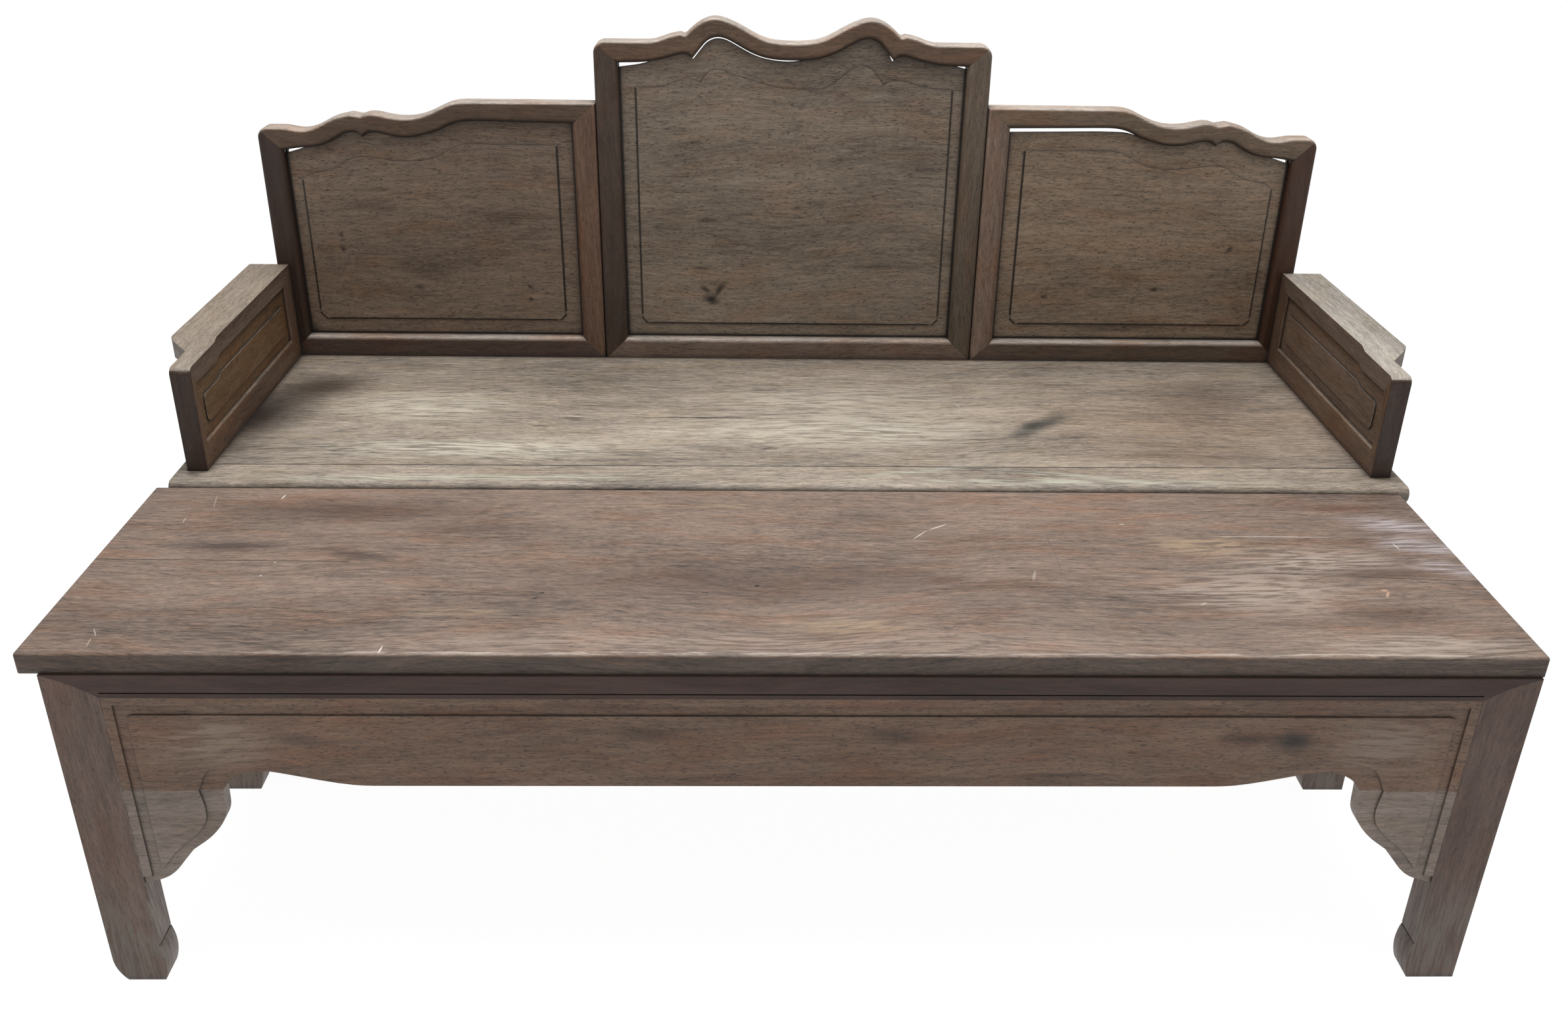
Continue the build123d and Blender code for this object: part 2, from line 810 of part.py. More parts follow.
bench_slab = make_bench_slab()
bench_boards = {"bench_top_front": bench_front - overcut, "bench_top_rear": bench_rear + overcut}
for part_name, far_side in bench_boards.items():
    with BuildPart() as board:
        add(bench_slab.part)
        with BuildSketch(Plane.XY.offset(bench_height - bench_thickness - overcut)):
            Polygon(*bench_seam(), (bench_right + overcut, far_side), (bench_left - overcut, far_side))
        extrude(amount=bench_thickness + 2 * overcut, mode=Mode.INTERSECT)
        cut_slab_joints(bench_stand)
        block(*patch_limits(), mode=Mode.SUBTRACT)
    keep(board, part_name)

with BuildPart() as nosing_patch:
    add(bench_slab.part)
    block(*patch_limits(), mode=Mode.INTERSECT)
keep(nosing_patch, "bench_nosing_patch")


# ================================================================ back
@dataclass
class BackFrame:
    name: str
    left: float
    right: float
    left_top: float  # height of its two upper corners above the floor
    right_top: float
    top: list  # runs of points along the crest
    notches: list  # points of the small notches in the crest
    under: list  # runs of points along the crest's lower edge
    field: list
    field_corners: tuple  # lower corners of the raised field
    drops: list  # places along the frame and how far the panel's head lies below the crest there
    rounded: tuple  # corner radius at the left and right

    @property
    def sill(self):
        return seat_height + rail_height

    @property
    def inner(self):
        return self.left + stile_width, self.right - stile_width


def ends_of(runs):
    """Leftmost and rightmost points of a list of runs."""
    points = sorted(point for run in runs for point in run)
    return points[0], points[-1]


def centre_frame():
    base = seat_height + centre_height
    notch_line = [centre_shoulder[-1], centre_crown[0]]
    flat = [(centre_half_width, 0), centre_shoulder[0]]
    half = [flat, centre_shoulder, notch_line]
    crown = centre_crown + [(-x, z) for x, z in reversed(centre_crown[:-1])]
    under_start = (centre_half_width - stile_width, centre_under_shoulder[0][1])
    under_shoulder = [under_start] + centre_under_shoulder[1:]
    under_crown = centre_under_crown + [(-x, z) for x, z in reversed(centre_under_crown[:-1])]
    field_floor = seat_height + centre_field_bottom
    return BackFrame(
        "centre",
        -centre_half_width,
        centre_half_width,
        base,
        base,
        moved(half + mirrored(half) + [crown], 0, base),
        [point for run in moved([notch_line] + mirrored([notch_line]), 0, base) for point in run],
        moved([under_shoulder] + mirrored([under_shoulder]) + [under_crown], 0, base),
        moved([centre_field_left, centre_field_crown, centre_field_right], 0, base),
        ((centre_field_left[0][0], field_floor), (centre_field_right[0][0], field_floor)),
        centre_drops,
        (centre_corner_radius, centre_corner_radius),
    )


def side_frame(name, side, drops):
    """A side frame of the back: side is -1 on the left and 1 on the right."""
    base = seat_height + side_height
    width = back_half_length - side_inner
    outer_top = side_shoulder[0][1]
    notch_line = [side_shoulder[-1], side_wave[0]]
    top = [
        [(0, outer_top), side_shoulder[0]],
        side_shoulder,
        notch_line,
        side_wave,
        [side_wave[-1], (width, 0)],
    ]
    under = [
        [(stile_width, side_under_shoulder[0][1])] + side_under_shoulder[1:],
        side_under_wave + [(width - stile_width, side_under_end)],
    ]
    field_inner = width - side_field_end
    field = [side_field, [side_field[-1], (field_inner, side_field[-1][1])]]
    field_floor = seat_height + side_field_bottom
    edge = side * back_half_length
    outer_corner = (edge - side * side_field[0][0], field_floor)
    inner_corner = (edge - side * field_inner, field_floor)
    corners = (outer_corner, inner_corner) if side < 0 else (inner_corner, outer_corner)
    left, right = sorted((edge, side * side_inner))
    heights = (base + outer_top, base) if side < 0 else (base, base + outer_top)
    rounded = (side_corner_radius, 0) if side < 0 else (0, side_corner_radius)
    return BackFrame(
        name,
        left,
        right,
        heights[0],
        heights[1],
        moved(top, edge, base, side=-side),
        moved([notch_line], edge, base, side=-side)[0],
        moved(under, edge, base, side=-side),
        moved(field, edge, base, side=-side),
        corners,
        sorted(moved([drops], edge, 0, side=-side)[0]),
        rounded,
    )


def make_opening(frame):
    """The opening of a back frame, as a body that is cut from it."""
    under_left, under_right = ends_of(frame.under)
    with BuildPart() as opening:
        with BuildSketch(front_view(back_front)):
            with BuildLine():
                draw(frame.under)
                sill_corners = [(x, frame.sill) for x in frame.inner]
                Polyline(under_left, *sill_corners, under_right)
            make_face()
        extrude(amount=-back_thickness)
    return opening


def make_ring(frame, opening):
    """A back frame as if it were one piece: its members are parted from it at the mitres."""
    corners = [(frame.left, frame.left_top), (frame.right, frame.right_top)]
    with BuildPart() as ring:
        with BuildSketch(front_view(back_front)) as outline:
            with BuildLine():
                draw(frame.top)
                Polyline(corners[0], (frame.left, seat_height), (frame.right, seat_height), corners[1])
            make_face()
            for corner, radius in zip(corners, frame.rounded):
                if radius > 0:
                    fillet(outline.vertices().sort_by_distance(corner)[0], radius=radius)
            for notch in frame.notches:
                fillet(outline.vertices().sort_by_distance(notch)[0], radius=notch_radius)
        extrude(amount=-back_thickness)
        fillet(ring.faces().sort_by(Axis.Y)[0].edges().sort_by(Axis.Z)[1:], radius=outer_arris)
        add(opening.part, mode=Mode.SUBTRACT)
    return ring


def make_housing(frame):
    """The groove round the opening, in which the panel's edges lie."""
    inner_left, inner_right = frame.inner
    raised = moved(frame.under, 0, panel_groove)
    raised_left, raised_right = ends_of(raised)
    low = frame.sill - panel_groove
    outer_left, outer_right = inner_left - panel_groove, inner_right + panel_groove
    with BuildPart() as housing:
        with BuildSketch(front_view(back_front + panel_setback)):
            with BuildLine():
                draw(raised)
                Polyline(
                    raised_left,
                    (outer_left, raised_left[1]),
                    (outer_left, low),
                    (outer_right, low),
                    (outer_right, raised_right[1]),
                    raised_right,
                )
            make_face()
        extrude(amount=-panel_thickness)
    return housing


def frame_tenons(frame):
    """Tenons of the crest and the bottom rail, each in a stile: name of the rail to limits."""
    middle = back_front + back_thickness / 2
    ys = (middle - frame_tenon_thickness / 2, middle + frame_tenon_thickness / 2)
    low = seat_height + frame_tenon_shoulder
    tenons = {"bottom": [], "crest": []}
    heads = (ends_of(frame.under)[0][1], ends_of(frame.under)[1][1])
    for inner, outer, head, turn in (
        (frame.inner[0], frame.left, heads[0], 1),
        (frame.inner[1], frame.right, heads[1], -1),
    ):
        xs = (inner + turn * overcut, outer + turn * frame_tenon_stop)
        tenons["bottom"].append((xs, ys, (low, low + frame_tenon_height)))
        top = head + frame_tenon_shoulder
        tenons["crest"].append((xs, ys, (top, top + frame_tenon_height)))
    return tenons


def frame_seat_tenons(frame):
    """Stub tenons under the bottom rail, in the seat."""
    middle = back_front + back_thickness / 2
    ys = (middle - seat_tenon_thickness / 2, middle + seat_tenon_thickness / 2)
    zs = (seat_height - seat_tenon_depth, seat_height + overcut)
    places = (frame.inner[0] + seat_tenon_inset, frame.inner[1] - seat_tenon_inset)
    return [((x - seat_tenon_length / 2, x + seat_tenon_length / 2), ys, zs) for x in places]


def key_limits():
    """Loose keys across the two seams of the back."""
    middle = back_front + back_thickness / 2
    ys = (middle - key_depth / 2, middle + key_depth / 2)
    keys = []
    for side in (-1, 1):
        seam = side * (centre_half_width + back_seam / 2)
        for level in (key_low, key_high):
            low = seat_height + level
            keys.append(((seam - key_reach, seam + key_reach), ys, (low, low + key_height)))
    return keys


def hook_slot(side):
    """Slot in an outer stile for an arm's dovetail key, with a pocket to lift the key into."""
    x = side * (arm_inner + hook_head)
    low = seat_height + hook_level - fit_gap
    reach = hook_reach + fit_gap
    with BuildPart() as slot:
        with BuildSketch(Plane.XY.offset(low)):
            Polygon(
                (x - hook_neck / 2 - fit_gap, back_front),
                (x + hook_neck / 2 + fit_gap, back_front),
                (x + hook_head / 2 + fit_gap, back_front + reach),
                (x - hook_head / 2 - fit_gap, back_front + reach),
            )
        extrude(amount=hook_height + 2 * hook_slack)
        block(
            (x - hook_head / 2 - fit_gap, x + hook_head / 2 + fit_gap),
            (back_front, back_front + reach),
            (low + hook_height + hook_slack, low + hook_height + hook_lift),
        )
    return slot


def edges_round(opening_face, face):
    """The edges of a member's face that lie along the opening of its frame."""
    rim = opening_face.outer_wire()
    return face.edges().filter_by(lambda edge: rim.distance_to(edge @ 0.5) < touching)


def make_back_member(frame, wedge, cuts=(), tenons=(), slots=()):
    """One member of a frame: the ring inside its wedge, less the panel groove and mortises."""
    opening = make_opening(frame)
    with BuildPart() as member:
        add(make_ring(frame, opening).part)
        with BuildSketch(front_view(back_front)):
            Polygon(*wedge)
        extrude(amount=-back_thickness, mode=Mode.INTERSECT)
        face = member.faces().sort_by(Axis.Y)[0]
        fillet(edges_round(opening.faces().sort_by(Axis.Y)[0], face), radius=inner_arris)
        add(make_housing(frame).part, mode=Mode.SUBTRACT)
        for limits in cuts:
            block(*limits, mode=Mode.SUBTRACT)
        for limits in tenons:
            block(*limits)
        for slot in slots:
            add(slot.part, mode=Mode.SUBTRACT)
    return member


def make_panel(frame):
    """A floating panel: it lies in the frame's groove, but its head has dropped here and there."""
    inner_left, inner_right = frame.inner
    under_left, under_right = ends_of(frame.under)

    def dropped(point):
        x, z = point
        for (left, first), (right, last) in pairwise(frame.drops):
            if left <= x <= right:
                return x, z - first - (last - first) * (x - left) / (right - left)

    head = [[dropped(point) for point in run] for run in frame.under]
    head_left, head_right = dropped(under_left), dropped(under_right)
    low = frame.sill - panel_tongue
    face = back_front + panel_setback
    with BuildPart() as panel:
        with BuildSketch(front_view(face)):
            with BuildLine():
                draw(head)
                Polyline(
                    head_left,
                    (inner_left - panel_tongue, head_left[1]),
                    (inner_left - panel_tongue, low),
                    (inner_right + panel_tongue, low),
                    (inner_right + panel_tongue, head_right[1]),
                    head_right,
                )
            make_face()
        extrude(amount=-panel_thickness)
        with BuildSketch(front_view(face - panel_relief)) as field:
            field_left, field_right = ends_of(frame.field)
            with BuildLine():
                draw(frame.field)
                Polyline(field_left, *frame.field_corners, field_right)
            make_face()
            for corner in frame.field_corners:
                fillet(field.vertices().sort_by_distance(corner)[0], radius=field_radius)
        extrude(amount=-2 * panel_relief)
    return panel


def make_back_frame(frame, slots=()):
    """Make and write the five pieces of a back frame."""
    tenons = frame_tenons(frame)
    inner_left, inner_right = frame.inner
    under_left, under_right = ends_of(frame.under)
    sky = seat_height + centre_height + rail_height * 2
    left_mitre = [(inner_left - rail_height, seat_height), (inner_left, frame.sill)]
    right_mitre = [(inner_right + rail_height, seat_height), (inner_right, frame.sill)]
    bottom_wedge = left_mitre + right_mitre[::-1]
    left_wedge = [(frame.left, seat_height), *left_mitre, under_left, (frame.left, frame.left_top)]
    right_wedge = [(frame.right, seat_height), *right_mitre, under_right, (frame.right, frame.right_top)]
    opening_level = min(under_left[1], under_right[1]) - rail_height
    crest_wedge = [
        (frame.left, frame.left_top),
        under_left,
        (inner_left, opening_level),
        (inner_right, opening_level),
        under_right,
        (frame.right, frame.right_top),
        (frame.right, sky),
        (frame.left, sky),
    ]
    bottom = make_back_member(frame, bottom_wedge, tenons=tenons["bottom"] + frame_seat_tenons(frame))
    crest = make_back_member(frame, crest_wedge, tenons=tenons["crest"])
    stile_cuts = tenons["bottom"] + tenons["crest"] + key_limits()
    left_stile = make_back_member(frame, left_wedge, cuts=stile_cuts, slots=slots)
    right_stile = make_back_member(frame, right_wedge, cuts=stile_cuts, slots=slots)
    keep(bottom, f"back_{frame.name}_bottom_rail")
    keep(crest, f"back_{frame.name}_crest")
    keep(left_stile, f"back_{frame.name}_stile_left")
    keep(right_stile, f"back_{frame.name}_stile_right")
    keep(make_panel(frame), f"back_{frame.name}_panel")


back_frames = (centre_frame(), side_frame("left", -1, left_drops), side_frame("right", 1, right_drops))
make_back_frame(back_frames[0])
make_back_frame(back_frames[1], slots=[hook_slot(-1)])
make_back_frame(back_frames[2], slots=[hook_slot(1)])

with BuildPart() as back_keys:
    for limits in key_limits():
        block(*limits)
keep(back_keys, "back_keys")


# ================================================================ arms
# An arm is drawn in side view: s is the distance from its front end.
def at(s, z):
    """A point of an arm's side view, from its front end and the seat."""
    return arm_front + s, seat_height + z


def arm_top_line():
    """The arm's upper edge from its front end back, with its small step."""
    low = arm_height - arm_step
    nose = arm_height - arm_nose_drop
    middle = (arm_step_start + arm_step_end) / 2
    return [
        [at(0, nose), at(arm_step_start, low)],
        [at(arm_step_start, low), at(middle, low + arm_step / 2), at(arm_step_end, arm_height)],
        [at(arm_step_end, arm_height), at(arm_length, arm_height)],
    ]


def arm_opening_line():
    """Upper edge of the opening, which follows the step."""
    low = arm_height - arm_nose_drop - arm_top_rail
    high = arm_height - arm_top_rail
    middle = (arm_step_start + arm_step_end) / 2
    return [
        [at(arm_front_stile, low), at(arm_step_start, low)],
        [at(arm_step_start, low), at(middle, (low + high) / 2), at(arm_step_end, high)],
        [at(arm_step_end, high), at(arm_length - arm_rear_stile, high)],
    ]


def make_arm_opening(side):
    """The opening of an arm's frame, as a body that is cut from it."""
    top_line = arm_opening_line()
    with BuildPart() as opening:
        with BuildSketch(side_view(side * arm_inner)):
            with BuildLine():
                draw(top_line)
                Polyline(
                    top_line[0][0],
                    at(arm_front_stile, arm_bottom_rail),
                    at(arm_length - arm_rear_stile, arm_bottom_rail),
                    top_line[-1][-1],
                )
            make_face()
        extrude(amount=side * arm_thickness)
    return opening


def make_arm_ring(side, opening):
    """An arm's frame as if it were one piece."""
    inner = side * arm_inner
    nose = at(0, arm_height - arm_nose_drop)
    tail = at(arm_length, arm_height)
    with BuildPart() as ring:
        with BuildSketch(side_view(inner)) as outline:
            with BuildLine():
                draw(arm_top_line())
                Polyline(tail, at(arm_length, 0), at(0, 0), nose)
            make_face()
            fillet(outline.vertices().sort_by_distance(nose)[0], radius=arm_nose_radius)
        extrude(amount=side * arm_thickness)
        add(opening.part, mode=Mode.SUBTRACT)
    return ring


def inner_face(piece, side):
    """The face of an arm's piece that looks at the seat."""
    return piece.faces().sort_by(Axis.X)[0 if side > 0 else -1]


def arm_housing(side):
    """Groove round the arm's opening."""
    high = arm_height - arm_top_rail + panel_groove
    face = arm_inner + arm_panel_setback
    limits = (
        (side * face, side * (face + arm_panel_thickness)),
        (arm_front + arm_front_stile - panel_groove, back_front - arm_rear_stile + panel_groove),
        (seat_height + arm_bottom_rail - panel_groove, seat_height + high),
    )
    return with_block(limits)


def arm_tenons(side):
    """Tenons of the arm's rails: the bottom one runs right through the front stile."""
    middle = side * (arm_inner + arm_thickness / 2)
    xs = (middle - seat_tenon_thickness / 2, middle + seat_tenon_thickness / 2)
    low = seat_height + arm_through_tenon
    rear_high = seat_height + arm_height - arm_top_rail + panel_groove + overcut
    high = rear_high - arm_nose_drop
    shoulder = arm_front + arm_front_stile + overcut
    rear = (back_front - arm_rear_stile - overcut, back_front - frame_tenon_stop)
    half = frame_tenon_height / 2
    return {
        "bottom": [
            (xs, (arm_front, shoulder), (low, low + frame_tenon_height)),
            (xs, rear, (low, low + frame_tenon_height)),
        ],
        "top": [
            (xs, (arm_front + frame_tenon_stop, shoulder), (high, high + half)),
            (xs, rear, (rear_high, rear_high + half)),
        ],
    }


def arm_seat_tenons(side):
    """Stub tenons under the arm's bottom rail, in the seat."""
    middle = side * (arm_inner + arm_thickness / 2)
    xs = (middle - seat_tenon_thickness / 2, middle + seat_tenon_thickness / 2)
    zs = (seat_height - seat_tenon_depth, seat_height + overcut)
    first = arm_front + arm_front_stile + seat_tenon_inset
    last = back_front - arm_rear_stile - seat_tenon_inset
    return [(xs, (y - seat_tenon_length / 2, y + seat_tenon_length / 2), zs) for y in (first, last)]


def make_hook(side):
    """Dovetail key on the rear stile of an arm, in the slot of the back's outer stile."""
    x = side * (arm_inner + hook_head)
    with BuildPart() as hook:
        with BuildSketch(Plane.XY.offset(seat_height + hook_level)):
            Polygon(
                (x - hook_neck / 2, back_front - overcut),
                (x + hook_neck / 2, back_front - overcut),
                (x + hook_neck / 2, back_front),
                (x + hook_head / 2, back_front + hook_reach),
                (x - hook_head / 2, back_front + hook_reach),
                (x - hook_neck / 2, back_front),
            )
        extrude(amount=hook_height)
    return hook


def make_arm_member(side, wedge, cuts=(), tenons=(), extra=None):
    """One member of an arm's frame, with what it carries besides."""
    opening = make_arm_opening(side)
    with BuildPart() as member:
        add(make_arm_ring(side, opening).part)
        with BuildSketch(side_view(side * arm_inner)):
            Polygon(*wedge)
        extrude(amount=side * arm_thickness, mode=Mode.INTERSECT)
        fillet(edges_round(inner_face(opening, side), inner_face(member, side)), radius=arm_arris)
        add(arm_housing(side), mode=Mode.SUBTRACT)
        for limits in cuts:
            block(*limits, mode=Mode.SUBTRACT)
        for limits in tenons:
            block(*limits)
        if extra is not None:
            add(extra.part)
    return member


def make_arm_wing(side):
    """The part of the top board that stands out past the arm's outer face."""
    start = side * (arm_inner + arm_thickness)
    edge = side * (arm_inner + arm_top_width)
    bottom = seat_height + arm_height - arm_top_thickness
    with BuildPart() as wing:
        with BuildSketch(side_view(start)):
            with BuildLine():
                draw(arm_top_line())
                Polyline(
                    at(arm_length, arm_height),
                    at(arm_length, arm_height - arm_top_thickness),
                    at(0, arm_height - arm_top_thickness),
                    at(0, arm_height - arm_nose_drop),
                )
            make_face()
        extrude(amount=edge - start)
        with BuildSketch(Plane.XY.offset(bottom)) as plan:
            Polygon(
                (start, arm_front + arm_wing_start),
                (edge, arm_front + arm_wing_full),
                (edge, back_front),
                (start, back_front),
            )
            outer = corners_at(plan, Axis.X, edge).sort_by(Axis.Y)
            fillet(outer[0], radius=arm_wing_front_radius)
            fillet(outer[-1], radius=arm_wing_rear_radius)
        extrude(amount=arm_top_thickness, mode=Mode.INTERSECT)
    return wing


def make_arm_panel(side):
    """The arm's panel, with a raised field on its inner face."""
    face = side * (arm_inner + arm_panel_setback)
    low = arm_height - arm_nose_drop - arm_top_rail
    high = arm_height - arm_top_rail
    near, far = arm_front_stile - panel_tongue, arm_length - arm_rear_stile + panel_tongue
    field_far = arm_length - arm_field_rear
    field_high = arm_height - arm_field_top
    field_low = field_high - arm_field_step
    middle = (arm_step_start + arm_step_end) / 2
    with BuildPart() as panel:
        with BuildSketch(side_view(face)):
            with BuildLine():
                Polyline(
                    at(near, low + panel_tongue),
                    at(near, arm_bottom_rail - panel_tongue),
                    at(far, arm_bottom_rail - panel_tongue),
                    at(far, high + panel_tongue),
                    at(arm_step_end, high + panel_tongue),
                    at(arm_step_start, low + panel_tongue),
                    close=True,
                )
            make_face()
        extrude(amount=side * arm_panel_thickness)
        with BuildSketch(side_view(face)) as field:
            corners = [
                at(arm_field_front, field_low),
                at(arm_field_front, arm_field_bottom),
                at(field_far, arm_field_bottom),
                at(field_far, field_high),
            ]
            with BuildLine():
                Polyline(*corners, at(arm_step_end, field_high))
                Spline(
                    at(arm_step_end, field_high),
                    at(middle, (field_low + field_high) / 2),
                    at(arm_step_start, field_low),
                )
                Line(at(arm_step_start, field_low), corners[0])
            make_face()
            for corner in corners:
                fillet(field.vertices().sort_by_distance(corner)[0], radius=arm_field_radius)
        extrude(amount=-side * panel_relief)
    return panel


def make_arm(name, side):
    """Make and write the five pieces of an arm: side is -1 on the left and 1 on the right."""
    tenons = arm_tenons(side)
    opening = arm_opening_line()
    front_head, rear_head = opening[0][0], opening[-1][-1]
    front_foot = at(arm_front_stile, arm_bottom_rail)
    rear_foot = at(arm_length - arm_rear_stile, arm_bottom_rail)
    nose, tail = at(0, arm_height - arm_nose_drop), at(arm_length, arm_height)
    sky = arm_height + arm_top_rail
    opening_level = arm_height - 2 * arm_top_rail
    bottom_wedge = [at(0, 0), at(arm_length, 0), rear_foot, front_foot]
    front_wedge = [at(0, 0), front_foot, front_head, nose]
    rear_wedge = [at(arm_length, 0), rear_foot, rear_head, tail]
    top_wedge = [
        nose,
        front_head,
        at(arm_front_stile, opening_level),
        at(arm_length - arm_rear_stile, opening_level),
        rear_head,
        tail,
        at(arm_length, sky),
        at(0, sky),
    ]
    bottom = make_arm_member(side, bottom_wedge, tenons=tenons["bottom"] + arm_seat_tenons(side))
    top = make_arm_member(side, top_wedge, tenons=tenons["top"], extra=make_arm_wing(side))
    cuts = tenons["bottom"] + tenons["top"]
    front = make_arm_member(side, front_wedge, cuts=cuts)
    rear = make_arm_member(side, rear_wedge, cuts=cuts, extra=make_hook(side))
    keep(bottom, f"arm_{name}_bottom_rail")
    keep(top, f"arm_{name}_top_rail")
    keep(front, f"arm_{name}_stile_front")
    keep(rear, f"arm_{name}_stile_rear")
    keep(make_arm_panel(side), f"arm_{name}_panel")


make_arm("left", -1)
make_arm("right", 1)


# ================================================================ seat of the daybed
def make_seat_slab():
    """The whole seat, before it is parted into its boards."""
    under = seat_height - seat_thickness
    left = -seat_length / 2
    with BuildPart() as slab:
        with BuildSketch(side_view(left)) as profile:
            with BuildLine():
                Polyline(
                    (seat_front, under),
                    (seat_rear, under),
                    (seat_rear, seat_height),
                    (seat_front, seat_height),
                    close=True,
                )
            make_face()
            fillet(corners_at(profile, Axis.X, seat_front), radius=seat_nosing_radius)
            fillet(corners_at(profile, Axis.X, seat_rear), radius=seat_end_radius)
        extrude(amount=seat_length)
        fillet(slab.faces().filter_by(Axis.X).edges(), radius=seat_end_radius)
    return slab


seat_mortises = [grown(limits, fit_gap) for frame in back_frames for limits in frame_seat_tenons(frame)]
seat_mortises += [grown(limits, fit_gap) for side in (-1, 1) for limits in arm_seat_tenons(side)]
seat_slab = make_seat_slab()
seat_left, seat_right = -seat_length / 2 - overcut, seat_length / 2 + overcut
seat_seam = [
    (seat_left, seat_front + seat_front_board),
    (seat_right, seat_front + seat_front_board + seat_seam_slant),
]
seat_boards = {"seat_board_front": seat_front - overcut, "seat_board_rear": seat_rear + overcut}
for part_name, far_side in seat_boards.items():
    with BuildPart() as board:
        add(seat_slab.part)
        with BuildSketch(Plane.XY.offset(seat_height - seat_thickness - overcut)):
            Polygon(*seat_seam, (seat_right, far_side), (seat_left, far_side))
        extrude(amount=seat_thickness + 2 * overcut, mode=Mode.INTERSECT)
        cut_slab_joints(daybed_stand)
        for limits in seat_mortises:
            block(*limits, mode=Mode.SUBTRACT)
    keep(board, part_name)
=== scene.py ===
"""Looks of an old hardwood luohan daybed with its front bench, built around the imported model."""

import json
import math
from collections import namedtuple

import bmesh
import bpy
from mathutils import Matrix, Vector
from mathutils.bvhtree import BVHTree


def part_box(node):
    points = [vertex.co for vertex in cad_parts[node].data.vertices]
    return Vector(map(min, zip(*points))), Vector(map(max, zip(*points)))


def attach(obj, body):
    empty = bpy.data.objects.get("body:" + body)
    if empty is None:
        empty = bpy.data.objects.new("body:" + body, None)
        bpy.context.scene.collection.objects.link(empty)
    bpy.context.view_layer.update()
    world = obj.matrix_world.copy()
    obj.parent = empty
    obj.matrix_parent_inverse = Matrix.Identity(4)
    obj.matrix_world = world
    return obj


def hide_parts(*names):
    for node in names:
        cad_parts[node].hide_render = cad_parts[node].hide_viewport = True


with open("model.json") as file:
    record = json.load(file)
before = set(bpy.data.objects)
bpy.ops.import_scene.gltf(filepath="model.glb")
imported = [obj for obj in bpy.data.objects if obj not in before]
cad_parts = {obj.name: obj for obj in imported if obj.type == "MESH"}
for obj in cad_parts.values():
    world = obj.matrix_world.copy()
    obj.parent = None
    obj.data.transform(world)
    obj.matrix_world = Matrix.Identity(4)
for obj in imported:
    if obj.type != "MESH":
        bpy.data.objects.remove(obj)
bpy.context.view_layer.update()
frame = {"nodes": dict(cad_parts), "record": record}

# ---------------------------------------------------------------- sizes
# Sizes and places on the daybed are millimetres until they are multiplied by MM. Those of the
# floor, the light and the camera are metres.
MM = 0.001
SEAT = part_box("seat_board_rear")[1].z / MM
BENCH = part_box("bench_top_front")[1].z / MM
APRON_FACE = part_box("bench_apron_front")[0].y / MM
PANEL_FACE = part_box("back_centre_panel")[0].y / MM
FRONT = Vector((0, -1, 0))

MERGE = 0.02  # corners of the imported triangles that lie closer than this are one
ARRIS = 1.2  # how far a sharp edge is worn back
CREVICE = 14  # how far the painted shade in crevices reaches out of a corner
PROBE = 1  # how far past an edge another piece is looked for
NARROW = 6  # a strip of a rounding is narrower than this
TIGHT_SEAM = (-605, 464)  # x of the stretch of the bench top's seam that doesn't show
BEHIND_FRONT = (180, 240)  # that stretch lies so far behind the bench's front edge

COPLANAR = math.radians(0.6)
FLAT_TURN = math.radians(0.3)
SHARP_TURN = math.radians(36)  # edges that turn more than this are worn round
SMOOTH_TURN = math.radians(40)  # edges that turn less than this are shaded as round

BOARD_SHIFT = 1.7  # metres between the figures of two boards


# ---------------------------------------------------------------- colour and nodes
def colour(hex_value):
    """An sRGB hex value as linear red, green, blue and alpha."""
    parts = [int(hex_value[i : i + 2], 16) / 255 for i in (1, 3, 5)]
    linear = [c / 12.92 if c <= 0.04045 else ((c + 0.055) / 1.055) ** 2.4 for c in parts]
    return (*linear, 1.0)


def add(tree, kind, inputs=None, **settings):
    """Add a node with its settings. Each input is a value or the socket that feeds it."""
    node = tree.nodes.new(kind)
    for name, value in settings.items():
        setattr(node, name, value)
    for name, value in (inputs or {}).items():
        if isinstance(value, bpy.types.NodeSocket):
            tree.links.new(value, node.inputs[name])
        else:
            node.inputs[name].default_value = value
    return node


# ---------------------------------------------------------------- tones of the wood, with painted light and shade
# For each finish: the tone of faces that look up, to the side and down, and of worn edges; the up
# tone is painted light from above with some real bleaching of the tops, the down tone is painted
# shade, and the edge tone carries a painted highlight; a tint that the wood turns to in patches;
# how strongly grain and pores show.
Look = namedtuple("Look", "up side down rubbed tint grain pores")
FINISHES = {
    "bench_top": Look("#78665a", "#4e3f35", "#3f3631", "#a3978a", "#fff0e4", 1.7, 0.35),
    "seat": Look("#908477", "#6f655a", "#4a423a", "#bdb5a5", "#f7f3ec", 1.8, 0.35),
    "leg": Look("#675c53", "#5d483d", "#443a34", "#84786e", "#fff3ea", 1.2, 0.4),
    # The waist's very dark tones are partly its own dark wood and partly painted shade from the
    # overhanging bench top.
    "waist": Look("#3f2a1b", "#33190b", "#2e231d", "#7a6a5e", "#ffece2", 1.4, 0.3),
    "apron": Look("#76675a", "#664e3c", "#46392f", "#85766a", "#ffeade", 1.2, 0.6),
    "spandrel": Look("#8a7f76", "#796b61", "#4d453f", "#8d837b", "#fbf6ee", 1.1, 0.35),
    "frame": Look("#a3978c", "#5a493e", "#2c231d", "#b3a89c", "#ffece0", 1.2, 0.35),
    "panel": Look("#9b8f82", "#786b5d", "#4a4036", "#94877a", "#fff3ea", 1.3, 0.6),
    "arm": Look("#6e6052", "#5f4a3a", "#33271e", "#85766a", "#ffecd8", 1.3, 0.4),
    "arm_top": Look("#9c948a", "#5f5045", "#3b3028", "#bdb5aa", "#f7f3ec", 1.3, 0.3),
    "hidden": Look("#8b7763", "#7b6855", "#54473a", "#8f7f6f", "#fff0e0", 1.2, 0.4),
}

